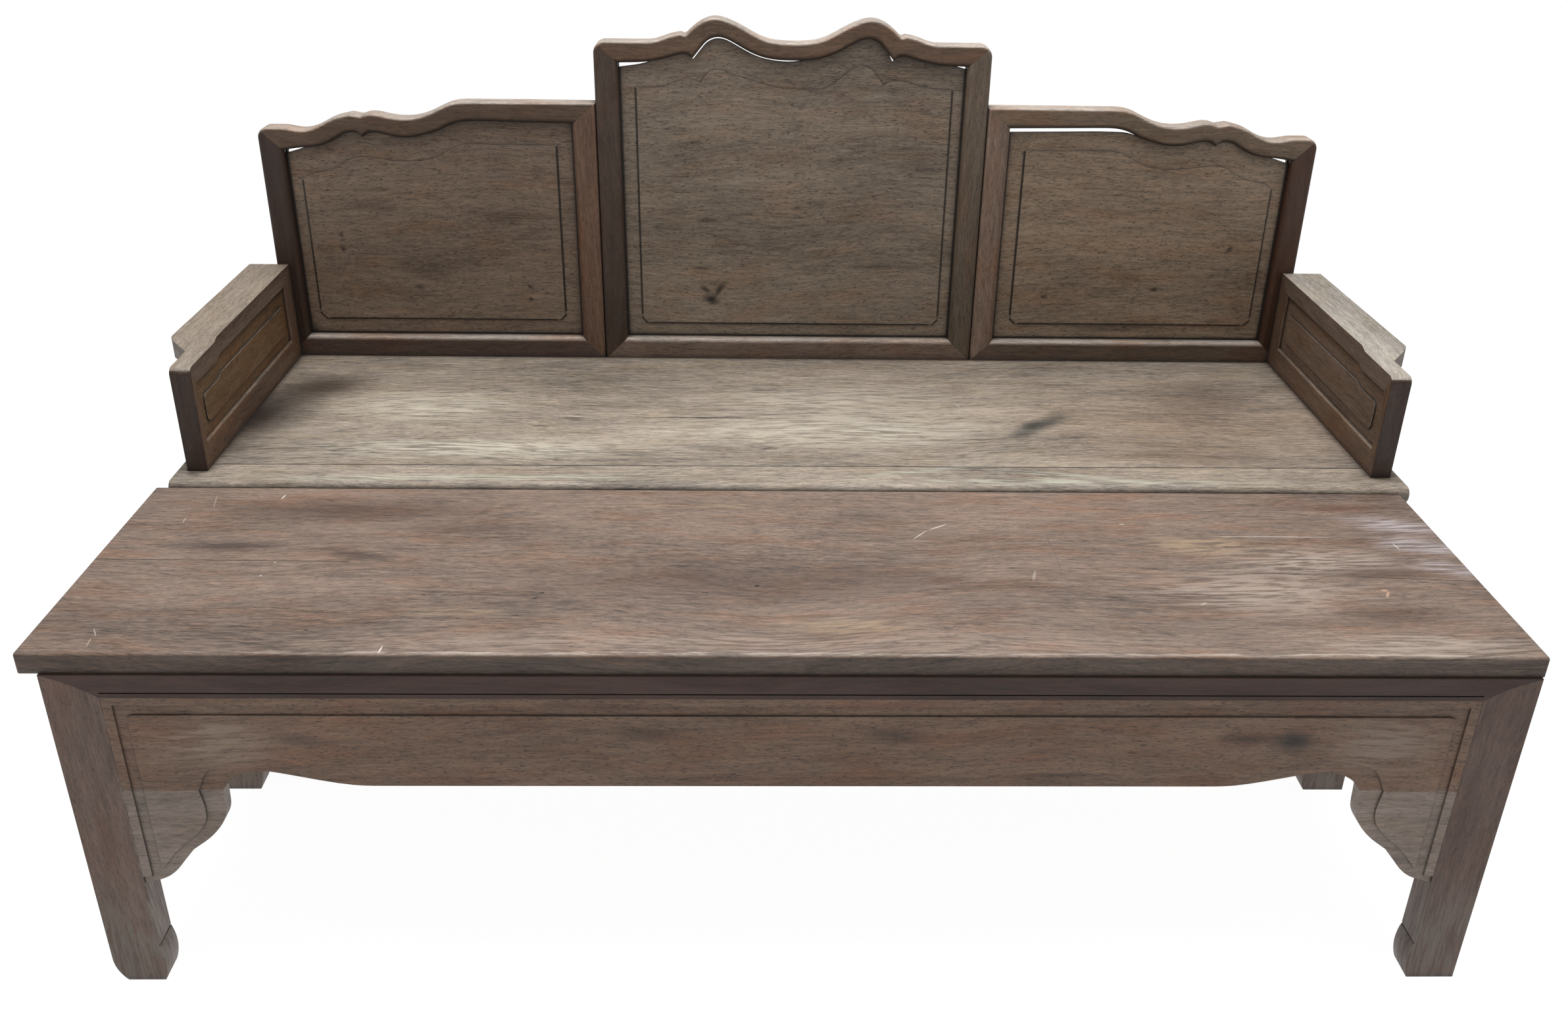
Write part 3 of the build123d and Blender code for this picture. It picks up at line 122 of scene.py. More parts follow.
# Pieces whose sides differ from the rest of their finish.
OWN_SIDES = {
    "back_centre_stile_left": "#42342a",
    "back_centre_stile_right": "#5a4e41",
    "back_left_stile_right": "#654c3c",
    "back_right_stile_left": "#705d50",
    "back_left_stile_left": "#2f1c10",
    "back_right_stile_right": "#3b210f",
    "back_centre_crest": "#5c4736",
    "back_left_crest": "#534030",
    "back_right_crest": "#645342",
    "back_centre_bottom_rail": "#6e5d51",
    "back_left_bottom_rail": "#4c3b32",
    "back_right_bottom_rail": "#564639",
    "back_left_panel": "#726152",
    "back_right_panel": "#7f6e5c",
    "arm_left_panel": "#5f4830",
    "arm_right_panel": "#614f41",
    "bench_leg_front_right": "#574137",
}

# Grain, from broad changes of tone to bundles of fibres: width across the grain, how many times
# longer it is along the grain, detail and how strongly it shows. Fibres and pores are drawn
# about five times as coarse as they grow, because finer ones would not show.
GRAIN_LAYERS = ((95, 4, 2.0, 0.7), (16, 9, 2.0, 0.35), (4.5, 14, 3.0, 0.8), (1.6, 11, 2.0, 1.0))
PORES = (1.3, 6, 1.0)
PATCHES = (28, 4, 3.0)
SOOT_AND_SHADE = "#1c1512"  # old grime, wax and dust that has gone black; also the painted shade in corners and crevices


# ---------------------------------------------------------------- marks of use, and painted light and shade
# Kinds of mark: how it blends with the wood, how soft its edge is, whether its outline
# wanders, and whether it shows only in streaks along the grain.
KINDS = {
    "stain": dict(blend="MULTIPLY", soft=0.95, ragged=True, streaky=False),
    "line": dict(blend="MULTIPLY", soft=0.6, ragged=False, streaky=False),
    "bleach": dict(blend="MIX", soft=0.95, ragged=True, streaky=True),
    "scratch": dict(blend="MIX", soft=0.6, ragged=False, streaky=False),
    "crack": dict(blend="MIX", soft=0.5, ragged=True, streaky=False),
}
DARK, SHADE_AND_GRIME, SHADE, BROWN, REDDISH = "#120e0c", "#33291f", "#6b5f58", "#8a7468", "#d09a84"
CREAM, OCHRE, BLUISH, PINK = "#d8cfc2", "#b39a78", "#b4abae", "#c39b84"

# Marks on a board that lies flat: kind, tint, strength, place x and y, length and width, and
# the turn in degrees.
BENCH_MARKS = [
    ("crack", DARK, 1.0, -57, -341, 10, 8, 0),
    ("stain", SHADE, 0.6, -38, -343, 44, 6, 0),
    ("crack", DARK, 0.8, -192, -320, 14, 2.5, 0),
    ("crack", DARK, 0.8, -125, -359, 9, 3, 0),
    ("crack", DARK, 0.8, -234, -406, 14, 3, 0),
    ("crack", DARK, 0.9, -342, -374, 10, 4, 0),
    ("crack", DARK, 0.9, -337, -361, 9, 4, 0),
    ("crack", DARK, 0.8, -362, -417, 9, 3, 0),
    ("crack", DARK, 0.7, -487, -367, 8, 3, 0),
    ("crack", DARK, 0.8, -614, -454, 6, 4, 0),
    ("scratch", CREAM, 1.0, -750, -87, 20, 3, 82),
    ("scratch", CREAM, 1.0, -512, -498, 22, 3, 85),
    ("scratch", CREAM, 0.5, -867, -161, 22, 2, 92),
    ("scratch", CREAM, 0.45, -868, -461, 26, 2, -61),
    ("scratch", CREAM, 0.4, -866, -484, 25, 2, 96),
    ("scratch", CREAM, 0.3, -843, -105, 59, 2, -78),
    ("scratch", CREAM, 0.6, -711, -319, 5, 4, 0),
    ("scratch", CREAM, 0.5, -703, -283, 5, 4, 0),
    ("scratch", CREAM, 0.6, 172, -196, 42, 3, 50),
    ("scratch", CREAM, 0.8, 201, -171, 40, 3, 33),
    ("scratch", CREAM, 0.7, 467, -160, 11, 3, 0),
    ("scratch", CREAM, 0.6, 522, -382, 14, 4, 31),
    ("scratch", CREAM, 0.25, 314, -310, 37, 6, 75),
    ("scratch", "#564a50", 0.6, 352, -218, 48, 3, -88),
    ("scratch", "#564a50", 0.4, 353, -279, 79, 3, -91),
    ("scratch", PINK, 0.9, 773, -346, 13, 5, 0),
    ("scratch", PINK, 0.8, 773, -357, 22, 5, 60),
    ("scratch", CREAM, 0.6, 839, -223, 22, 4, -80),
    ("bleach", BLUISH, 0.9, 860, -160, 200, 70, -12),
    ("bleach", BLUISH, 0.9, 875, -222, 180, 70, -12),
    ("bleach", BLUISH, 0.8, 885, -285, 140, 60, -12),
    ("stain", REDDISH, 0.6, 800, -105, 260, 40, 0),
    ("bleach", "#b0a194", 0.75, 711, -266, 360, 120, 0),
    # The next two rows paint a sheen of light along the bench top's front, as pale streaks.
    ("bleach", "#b0a295", 0.7, 780, -480, 420, 90, 0),
    ("bleach", "#a8978a", 0.4, -60, -480, 1700, 75, 0),
    ("bleach", "#ad9d90", 0.7, 600, -350, 440, 170, 0),
    ("scratch", CREAM, 0.45, 673, -196, 240, 3, 0),
    ("bleach", OCHRE, 0.5, 567, -222, 220, 90, 1),
    ("stain", REDDISH, 0.5, 191, -324, 90, 36, 0),
    ("stain", REDDISH, 0.4, 255, -404, 110, 30, 0),
    ("bleach", OCHRE, 0.55, 60, -440, 260, 50, 0),
    ("bleach", OCHRE, 0.4, -441, -409, 180, 30, 0),
    ("bleach", OCHRE, 0.4, -160, -110, 330, 22, 0),
    ("stain", BROWN, 0.6, 780, -300, 260, 50, 1),
    ("stain", BROWN, 0.6, 760, -410, 260, 90, 0),
    ("stain", BROWN, 0.35, 640, -430, 220, 30, 0),
    ("stain", "#857d80", 0.7, -595, -262, 170, 34, -12),
    ("stain", "#8a8386", 0.7, -778, -238, 240, 46, 1),
    ("stain", BROWN, 0.6, -640, -130, 560, 130, 0),
    ("stain", BROWN, 0.55, -100, -330, 900, 170, 0),
    ("stain", BROWN, 0.4, -450, -180, 260, 70, 0),
    ("crack", DARK, 0.8, -819, -52, 60, 5, -2),
    ("crack", DARK, 0.9, -666, -50, 22, 5, 1),
    ("crack", DARK, 0.5, -740, -52, 60, 3, 1),
    ("bleach", CREAM, 0.5, -200, -504, 1500, 9, 0),
    ("bleach", CREAM, 0.5, 600, -504, 900, 9, 0),
]
SEAT_MARKS = [
    ("stain", "#868f92", 0.9, 420, 187, 200, 60, 42),
    ("stain", "#6a7478", 0.9, 391, 170, 80, 50, 40),
    ("stain", "#7d868a", 0.8, 372, 138, 80, 40, 15),
    # The next two rows are painted shadow: the left arm's shade over the seat's left end, and the darker
    # corner under the back and the arm.
    ("stain", "#4d3f35", 1.0, -875, 190, 460, 230, 74),
    ("stain", "#6b5a4c", 0.9, -800, 320, 260, 170, 20),
    ("stain", "#5b5650", 0.8, -358, 193, 70, 14, 0),
    ("stain", "#5b5650", 0.7, -409, 161, 60, 12, 0),
    ("crack", DARK, 0.8, -141, 199, 262, 4, 1),
    ("stain", SHADE, 0.5, -141, 199, 290, 14, 1),
    ("crack", DARK, 0.55, -631, 198, 302, 2.5, -1),
    ("scratch", SHADE, 0.5, 460, 340, 26, 3, 0),
    ("scratch", CREAM, 0.5, 283, 257, 30, 2.5, -71),
    ("bleach", "#c4beac", 0.6, -610, 240, 420, 190, 0),
    ("bleach", "#c9c3b2", 0.7, -490, 70, 760, 110, 0),
    ("bleach", "#c2bcac", 0.65, 60, 150, 800, 190, 0),
    ("bleach", "#c0b5a6", 0.6, 50, 275, 640, 210, 0),
    ("bleach", "#b9b8a8", 0.8, -499, -34, 900, 30, 1),
    ("bleach", "#b9b8a8", 0.8, 441, -38, 950, 30, 0),
    ("bleach", "#aeb0a2", 0.7, 170, -8, 300, 22, 12),
    ("bleach", "#aeb0a2", 0.7, 400, -12, 320, 20, -9),
    ("stain", BROWN, 0.45, 720, 320, 300, 260, 0),
    ("stain", BROWN, 0.35, 600, 60, 500, 60, 0),
    ("stain", "#dccfc6", 0.8, 660, 170, 900, 560, 0),
]
# Marks on an upright face: kind, tint, strength, place x and height, length and width, turn.
PANEL_MARKS = [
    ("stain", "#3b332d", 1.0, -140, 636, 26, 44, 70),
    ("stain", "#4a413a", 0.9, -126, 654, 56, 18, 50),
    ("stain", "#4a413a", 0.8, -150, 655, 40, 14, -40),
    ("stain", SHADE, 0.7, -146, 781, 60, 16, 0),
    ("stain", SHADE, 0.7, -156, 694, 52, 12, 0),
    ("stain", SHADE, 0.6, 12, 803, 26, 12, 0),
    ("stain", SHADE, 0.5, 150, 700, 260, 14, 0),
    ("stain", SHADE, 0.4, -50, 590, 400, 12, 0),
    ("stain", "#4b423c", 0.8, -787, 749, 12, 14, 0),
    ("stain", "#4b423c", 0.8, -787, 722, 12, 16, 0),
    ("stain", "#4b423c", 0.9, -463, 657, 18, 12, -36),
    ("stain", "#5a5048", 0.8, -463, 634, 14, 12, -60),
    ("stain", SHADE, 0.7, -658, 655, 20, 14, -33),
    ("stain", SHADE, 0.3, -711, 799, 170, 34, -4),
    ("stain", SHADE, 0.35, -502, 783, 190, 40, 1),
    ("stain", SHADE, 0.3, -649, 687, 160, 50, -10),
    ("stain", "#4b423c", 0.9, -862, 568, 60, 110, 0),
    ("stain", "#4b423c", 0.8, 461, 648, 20, 14, 0),
    ("stain", "#5a5048", 0.8, 658, 663, 22, 16, 0),
    ("stain", "#5a5048", 0.8, 783, 737, 16, 24, -36),
    ("stain", SHADE, 0.5, 620, 590, 300, 40, 0),
]
APRON_MARKS = [
    ("stain", "#3a3532", 0.95, 617, 399, 80, 52, 0),
    ("stain", "#6f645c", 0.7, 556, 402, 120, 30, 0),
    ("stain", REDDISH, 0.55, -243, 447, 240, 20, 0),
    ("stain", REDDISH, 0.45, 104, 449, 300, 20, 0),
    ("stain", SHADE, 0.5, -192, 409, 110, 34, -7),
    ("stain", SHADE, 0.6, 118, 405, 120, 40, -6),
    ("stain", SHADE, 0.5, -625, 399, 120, 30, -8),
    ("stain", SHADE, 0.6, 339, 346, 200, 10, 0),
    ("bleach", "#8d7d6e", 0.7, -730, 393, 200, 120, 0),
    ("bleach", "#85776a", 0.6, 735, 393, 210, 130, 0),
]


def flat_marks(rows, height):
    """Marks on a board that lies flat, as rows of kind, tint, strength, place, size and turn."""
    return [
        (kind, tint, strength, (x, y, height), (length, width, 30), (0, 0, math.radians(turn)))
        for kind, tint, strength, x, y, length, width, turn in rows
    ]


def upright_marks(rows, depth, reach=30):
    """The same for marks on a face that looks to the front. Reach is how deep they go."""
    return [
        (kind, tint, strength, (x, depth, z), (length, reach, width), (0, -math.radians(turn), 0))
        for kind, tint, strength, x, z, length, width, turn in rows
    ]


def panel_edges():
    """Dark lines of painted shade, with some grime, where the back panels go into their frames, as rows
    of marks.
    """
    rows = []
    for name in ("left", "centre", "right"):
        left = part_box(f"back_{name}_stile_left")[1].x / MM
        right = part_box(f"back_{name}_stile_right")[0].x / MM
        rows += [("line", SHADE_AND_GRIME, 0.9, x, 800, 11, 3000, 0) for x in (left, right)]
    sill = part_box("back_centre_bottom_rail")[1].z / MM
    return rows + [("line", SHADE_AND_GRIME, 0.9, 0, sill, 9000, 12, 0)]


def field_edges(node):
    """Painted shade: dark lines down both sides and along the foot of a panel's raised field, where
    its step shades the border, and short ones across its two lower corners."""
    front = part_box(node)[0].y
    vertices = frame["nodes"][node].data.vertices
    outline = [vertex.co / MM for vertex in vertices if vertex.co.y < front + 0.1 * MM]
    left, right = min(spot.x for spot in outline), max(spot.x for spot in outline)
    foot = min(spot.z for spot in outline)
    heads = (
        (left - 1, max(spot.z for spot in outline if spot.x < left + 1)),
        (right + 1, max(spot.z for spot in outline if spot.x > right - 1)),
    )
    width, corner, slant = 5.5, 14, 16
    rows = []
    for x, head in heads:
        length = head - foot - corner
        rows.append(("line", SHADE_AND_GRIME, 0.8, x, head - length / 2, width, length, 0))
    middle = (left + right) / 2
    rows.append(("line", SHADE_AND_GRIME, 0.8, middle, foot - 1, right - left - 2 * corner, width, 0))
    for x, turn in ((left + corner / 4, -45), (right - corner / 4, 45)):
        rows.append(("line", SHADE_AND_GRIME, 0.8, x, foot + corner / 4, slant, width, turn))
    return rows


def marks_of(node):
    """The marks of use, and of painted light and shade, on a piece. The last few cover a whole face, so
    they are larger than it.
    """
    if node.startswith("bench_top") or node == "bench_nosing_patch":
        return flat_marks(BENCH_MARKS, BENCH)
    if node.startswith("seat_board"):
        return flat_marks(SEAT_MARKS, SEAT)
    if node == "bench_apron_front":
        return upright_marks(APRON_MARKS, APRON_FACE)
    low, high = (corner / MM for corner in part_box(node))
    middle = (low + high) / 2
    level = (0, 0, 0)
    if node.startswith("back") and node.endswith("panel"):
        rows = PANEL_MARKS + panel_edges() + field_edges(node)
        own = [row for row in rows if row[0] == "line" or low.x < row[3] < high.x]
        return upright_marks(own, PANEL_FACE, reach=12)
    if node.endswith("stile_front") or node.startswith("arm") and node.endswith("bottom_rail"):
        worn_front = (middle.x, low.y, middle.z)
        return [("stain", "#96806f", 1.0, worn_front, (300, 10, 2000), level)]
    if node == "arm_left_top_rail":
        worn_top = (middle.x, middle.y, high.z)
        return [("stain", "#d8cec4", 1.0, worn_top, (2000, 3000, 40), level)]
    if "_leg_" in node:
        # The lower leg is paler and greyer: partly its own greenish grey foot, partly painted light
        # bounced up from the floor.
        foot = (middle.x, middle.y, 60)
        marks = [("bleach", "#67625a", 0.6, foot, (400, 400, 330), level)]
        if node == "bench_leg_front_left":
            # Painted light bounced from the floor makes the inner side of this leg paler and greyer.
            floor_lit_inner_side = (high.x, middle.y, middle.z)
            marks.append(("bleach", "#8b857e", 0.6, floor_lit_inner_side, (16, 400, 900), level))
        return marks
    return []


# ---------------------------------------------------------------- wood
def wandering(tree, vector, scale, detail, reach):
    """A vector moved about by noise, by up to half of reach to each side."""
    noise = add(tree, "ShaderNodeTexNoise", {"Vector": vector, "Scale": scale, "Detail": detail})
    centred = add(
        tree,
        "ShaderNodeVectorMath",
        {0: noise.outputs["Color"], 1: (0.5, 0.5, 0.5)},
        operation="SUBTRACT",
    ).outputs[0]
    return add(
        tree,
        "ShaderNodeVectorMath",
        {0: centred, 1: reach, 2: vector},
        operation="MULTIPLY_ADD",
    ).outputs[0]


def grain_noise(tree, along, width, stretch, detail):
    """Noise as wide across the grain as the given millimetres, and longer along it."""
    stretched = add(
        tree, "ShaderNodeVectorMath", {0: along, 1: (1 / stretch, 1, 1)}, operation="MULTIPLY"
    ).outputs[0]
    return add(
        tree,
        "ShaderNodeTexNoise",
        {"Vector": stretched, "Scale": 1 / (width * MM), "Detail": detail},
    ).outputs["Fac"]


def marked(tree, base, marks, place, streaks):
    """Lay marks of use over a colour: thin boxes for lines, ellipsoids for the rest. Streaks
    is how strongly a streaky mark shows along the grain."""
    # A ragged outline wanders by up to some 6 mm along x and 3 mm across, about every 14 mm.
    ragged = wandering(tree, place, 70.0, 3.0, (0.012, 0.006, 0.006)) if marks else place
    for kind, tint, strength, centre, size, turn in marks:
        manner = KINDS[kind]
        inside = add(
            tree,
            "ShaderNodeMapping",
            {
                "Vector": ragged if manner["ragged"] else place,
                "Location": Vector(centre) * MM,
                "Rotation": turn,
                "Scale": Vector(size) * MM / 2,
            },
            vector_type="TEXTURE",
        ).outputs[0]
        if kind == "line":
            mirrored = add(tree, "ShaderNodeVectorMath", {0: inside}, operation="ABSOLUTE").outputs[0]
            share = strength
            for axis, out in enumerate(add(tree, "ShaderNodeSeparateXYZ", {0: mirrored}).outputs):
                solid = 1.0 - manner["soft"] * min(size) / size[axis]
                edge = add(
                    tree,
                    "ShaderNodeMapRange",
                    {"Value": out, "From Min": 1.0, "From Max": solid},
                    interpolation_type="SMOOTHSTEP",
                ).outputs["Result"]
                share = add(tree, "ShaderNodeMath", {0: share, 1: edge}, operation="MULTIPLY").outputs[0]
        else:
            reach = add(tree, "ShaderNodeVectorMath", {0: inside}, operation="LENGTH")
            share = add(
                tree,
                "ShaderNodeMapRange",
                {
                    "Value": reach.outputs["Value"],
                    "From Min": 1.0,
                    "From Max": 1.0 - manner["soft"],
                    "To Max": strength,
                },
                interpolation_type="SMOOTHSTEP",
            ).outputs["Result"]
        if manner["streaky"]:
            share = add(tree, "ShaderNodeMath", {0: share, 1: streaks}, operation="MULTIPLY").outputs[0]
        base = add(
            tree,
            "ShaderNodeMix",
            {"Factor": share, "A": base, "B": colour(tint)},
            data_type="RGBA",
            blend_type=manner["blend"],
        ).outputs["Result"]
    return base


def aged_hardwood(name, look, side, grain, shift, marks):
    """Dense tropical hardwood, planed, oiled and long worn: satin, with short dark pores and soft
    streaks along the grain. Faces that look up are paler with painted light from above, faces that
    look down are darker with painted shade, worn edges are paler with a painted highlight, and
    crevices are darker with painted shade. Grain is the axis that it runs along; shift gives each
    board its own figure."""
    material = bpy.data.materials.new(name)
    material.use_nodes = True
    tree = material.node_tree
    shader = tree.nodes["Principled BSDF"]
    place = add(tree, "ShaderNodeTexCoord").outputs["Object"]
    turns = {"x": (0, 0, 0), "y": (0, 0, -math.pi / 2), "z": (0, math.pi / 2, 0)}
    straight = add(
        tree,
        "ShaderNodeMapping",
        {"Vector": place, "Location": (shift, shift / 3, shift / 7), "Rotation": turns[grain]},
    ).outputs[0]
    # The grain wanders in slow bends, some 10 mm to each side about every 400 mm.
    along = wandering(tree, straight, 2.6, 1.0, (0, 0.06, 0.06))

    layers = []
    brightness = 1 - look.grain * sum(weight for *_, weight in GRAIN_LAYERS) / 2
    for width, stretch, detail, weight in GRAIN_LAYERS:
        layers.append(grain_noise(tree, along, width, stretch, detail))
        brightness = add(
            tree,
            "ShaderNodeMath",
            {0: layers[-1], 1: weight * look.grain, 2: brightness},
            operation="MULTIPLY_ADD",
        ).outputs[0]
    streak, growth, fibre = layers[1:]
    patchy = grain_noise(tree, along, *PATCHES)
    normal = add(tree, "ShaderNodeNewGeometry").outputs["Normal"]
    upward = add(tree, "ShaderNodeSeparateXYZ", {"Vector": normal}).outputs["Z"]
    # Ambient occlusion, read to paint shade into crevices and corners.
    openness = add(
        tree, "ShaderNodeAmbientOcclusion", {"Distance": CREVICE * MM}, samples=6
    ).outputs["AO"]

    # Each of these follows something smoothly: what it follows, from where to where, and its
    # values at both ends.
    ramps = {
        "pore": (grain_noise(tree, along, *PORES), 0.42, 0.32, 0.0, 1.0),
        # The down tone is painted shade under things; the up tone is painted light from above, with some
        # real bleaching of the tops.
        "painted_underside_shade": (upward, -0.05, -0.8, 0.0, 1.0),
        "top_bleach_and_painted_light": (upward, 0.1, 0.85, 0.0, 1.0),
        "tinted": (patchy, 0.45, 0.7, 0.0, 1.0),
        "patchy_wear_and_highlight": (patchy, 0.38, 0.58, 0.25, 0.9),
        "painted_crevice_shade": (openness, 0.95, 0.4, 0.0, 0.8),
        "streaks": (growth, 0.42, 0.58, 0.15, 1.0),
        "roughness": (streak, 0.3, 0.7, 0.62, 0.5),
    }
    shares = {}
    for kind, (source, start, end, at_start, at_end) in ramps.items():
        shares[kind] = add(
            tree,
            "ShaderNodeMapRange",
            {"Value": source, "From Min": start, "From Max": end, "To Min": at_start, "To Max": at_end},
            interpolation_type="SMOOTHSTEP",
        ).outputs["Result"]
    without_pores = add(
        tree,
        "ShaderNodeMapRange",
        {"Value": shares["pore"], "To Min": 1.0, "To Max": 1.0 - look.pores},
        interpolation_type="SMOOTHSTEP",
    ).outputs["Result"]
    brightness = add(
        tree, "ShaderNodeMath", {0: brightness, 1: without_pores}, operation="MULTIPLY"
    ).outputs[0]
    # Paler edges: real wear, with a painted highlight on them.
    edges = add(tree, "ShaderNodeAttribute", attribute_name="painted_highlight_and_edge_wear").outputs["Fac"]
    rubbed = add(
        tree, "ShaderNodeMath", {0: edges, 1: shares["patchy_wear_and_highlight"]}, operation="MULTIPLY"
    ).outputs[0]
    # Darker faces: dirt in joints, painted shade with some grime in inner corners, painted shade on the
    # slopes of a field.
    dirt_and_shade = add(tree, "ShaderNodeAttribute", attribute_name="joint_dirt_and_corner_shade").outputs["Fac"]

    base = colour(side)
    for share, tint, blend in (
        (shares["painted_underside_shade"], look.down, "MIX"),
        (shares["top_bleach_and_painted_light"], look.up, "MIX"),
        (shares["tinted"], look.tint, "MULTIPLY"),
        (rubbed, look.rubbed, "MIX"),
        (dirt_and_shade, SOOT_AND_SHADE, "MIX"),
        (shares["painted_crevice_shade"], SOOT_AND_SHADE, "MIX"),
    ):
        base = add(
            tree,
            "ShaderNodeMix",
            {"Factor": share, "A": base, "B": colour(tint)},
            data_type="RGBA",
            blend_type=blend,
        ).outputs["Result"]
    grained = add(
        tree, "ShaderNodeVectorMath", {0: base, "Scale": brightness}, operation="SCALE"
    ).outputs[0]
    base = marked(tree, grained, marks, place, shares["streaks"])
    tree.links.new(base, shader.inputs["Base Color"])

    height = add(
        tree, "ShaderNodeMath", {0: shares["pore"], 1: -1.0, 2: fibre}, operation="MULTIPLY_ADD"
    ).outputs[0]
    bump = add(
        tree, "ShaderNodeBump", {"Height": height, "Strength": 0.3, "Distance": 0.5 * MM}
    ).outputs[0]
    tree.links.new(bump, shader.inputs["Normal"])
    tree.links.new(shares["roughness"], shader.inputs["Roughness"])
    shader.inputs["IOR"].default_value = 1.5
    return material


# ---------------------------------------------------------------- pieces
def as_object(name, sheet, material):
    """An object in the scene that takes over a finished bmesh."""
    mesh = bpy.data.meshes.new(name)
    sheet.to_mesh(mesh)
    sheet.free()
    mesh.materials.append(material)
    thing = bpy.data.objects.new(name, mesh)
    bpy.context.scene.collection.objects.link(thing)
    return thing


def solid_of(node):
    """A node's mesh with its loose triangles joined and its flat faces made whole."""
    sheet = bmesh.new()
    sheet.from_mesh(frame["nodes"][node].data)
    bmesh.ops.remove_doubles(sheet, verts=sheet.verts, dist=MERGE * MM)
    bmesh.ops.dissolve_limit(sheet, angle_limit=COPLANAR, verts=sheet.verts, edges=sheet.edges)
    if node.startswith("bench_top"):
        for x in TIGHT_SEAM:
            everything = sheet.verts[:] + sheet.edges[:] + sheet.faces[:]
            bmesh.ops.bisect_plane(
                sheet, geom=everything, plane_co=(x * MM, 0, 0), plane_no=(1, 0, 0)
            )
    return sheet


def rub(sheet, edges, width):
    """Round edges off. It returns the new faces."""
    made = bmesh.ops.bevel(
        sheet,
        geom=edges,
        offset=width,
        offset_type="OFFSET",
        segments=2,
        profile=0.5,
        affect="EDGES",
        clamp_overlap=True,
        material=-1,
    )
    return made["faces"]


def in_tight_seam(edge):
    """Whether an edge lies where the bench top's two boards fit so well that no line shows."""
    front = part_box("bench_top_front")[0].y
    near_side, far_side = (front + distance * MM for distance in BEHIND_FRONT)
    left, right = (TIGHT_SEAM[0] - 1) * MM, (TIGHT_SEAM[1] + 1) * MM
    return all(
        near_side < vertex.co.y < far_side and left < vertex.co.x < right for vertex in edge.verts
    )


def sharp_edges(sheet, neighbours, convex):
    """The sharp edges that show: an edge inside a joint has another piece just past it."""
    edges = []
    for edge in sheet.edges:
        if len(edge.link_faces) != 2 or edge.is_convex != convex:
            continue
        if edge.calc_face_angle(0) < SHARP_TURN or in_tight_seam(edge):
            continue
        outward = edge.link_faces[0].normal + edge.link_faces[1].normal
        middle = (edge.verts[0].co + edge.verts[1].co) / 2
        probe = middle + outward.normalized() * PROBE * MM
        nearest = [tree.find_nearest(probe, 2 * PROBE * MM) for tree in neighbours]
        if not any(spot and (probe - spot).dot(normal) < 0 for spot, normal, *_ in nearest):
            edges.append(edge)
    return edges


def part_of_rounding(face):
    """Whether a face is a narrow strip that turns from each neighbour, so not part of a flat."""
    longest = max(edge.calc_length() for edge in face.edges)
    turning = all(edge.calc_face_angle(0) > FLAT_TURN for edge in face.edges)
    return turning and face.calc_area() < NARROW * MM * longest


def wear_and_paint_light_and_shade(node, sheet, neighbours):
    """Round a solid's sharp edges off, and note on its faces how pale and how dark they are. Free
    edges are worn pale and carry a painted highlight, as do the bevels of the back's inner corners
    that look up. Joints are dark with dirt; other inner corners are dark with painted shade and some
    grime; the slopes round the field of an apron or spandrel that don't look up carry painted shade;
    the steps of an arm's panel are darkened."""
    rubbed = sheet.faces.layers.float.new("painted_highlight_and_edge_wear")
    dirt_and_shade = sheet.faces.layers.float.new("joint_dirt_and_corner_shade")
    for face in rub(sheet, sharp_edges(sheet, neighbours, convex=False), ARRIS * MM):
        # Concave edges: on the back, their bevels that look up get a painted highlight; the rest get
        # painted shade with some grime.
        if node.startswith("back") and face.normal.z > 0.3:
            face[rubbed] = 1.0
        else:
            face[dirt_and_shade] = 0.8
    for face in rub(sheet, sharp_edges(sheet, neighbours, convex=True), ARRIS * MM):
        # Convex edges: in a joint they are dark with dirt; free ones are worn pale and carry a painted
        # highlight.
        centre = face.calc_center_median()
        joint = any(tree.find_nearest(centre, 1.5 * ARRIS * MM)[0] for tree in neighbours)
        face[rubbed] = 0.0 if joint else 1.0
        face[dirt_and_shade] = 1.0 if joint else 0.0
    for face in sheet.faces:
        # Slopes round an apron's or spandrel's field that don't look up get painted shade; the steps of
        # an arm's panel are darkened.
        if "apron" in node or "spandrel" in node:
            slanting = 4 < math.degrees(face.normal.angle(FRONT, 0)) < 25
            if slanting and face.normal.z < 0.05:
                face[dirt_and_shade] = 0.35
        elif node.startswith("arm") and node.endswith("panel"):
            face[dirt_and_shade] = max(face[dirt_and_shade], 0.7 if abs(face.normal.x) < 0.9 else 0.0)


def make_worn_copy(node, sheet, body, material, neighbours):
    """A node's own shape with worn edges, which replaces the node."""
    wear_and_paint_light_and_shade(node, sheet, neighbours)
    for edge in sheet.edges:
        edge.smooth = edge.calc_face_angle(0) < SMOOTH_TURN
    for face in sheet.faces:
        face.smooth = part_of_rounding(face)
    piece = as_object(node + "_worn", sheet, material)
    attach(piece, body)
    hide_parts(node)


def finish_of(node):
    """Finish and grain direction of a piece, from its place in the daybed."""
    if node.startswith("bench_top") or node == "bench_nosing_patch":
        return "bench_top", "x"
    if node.startswith("seat_board"):
        return "seat", "x"
    if "battens" in node:
        return "hidden", "y"
    if node == "back_keys":
        return "hidden", "x"
    if "_leg_" in node:
        return "leg", "z"
    if "waist" in node:
        return "waist", "y" if "sides" in node else "x"
    if "spandrel" in node:
        return "spandrel", "x"
    if "apron" in node:
        return "apron", "y" if node.endswith(("left", "right")) else "x"
    if node.startswith("arm_"):
        if node.endswith("top_rail"):
            return "arm_top", "y"
        return "arm", "z" if "stile" in node else "y"
    if node.endswith("panel"):
        return "panel", "x"
    return "frame", "z" if "stile" in node else "x"


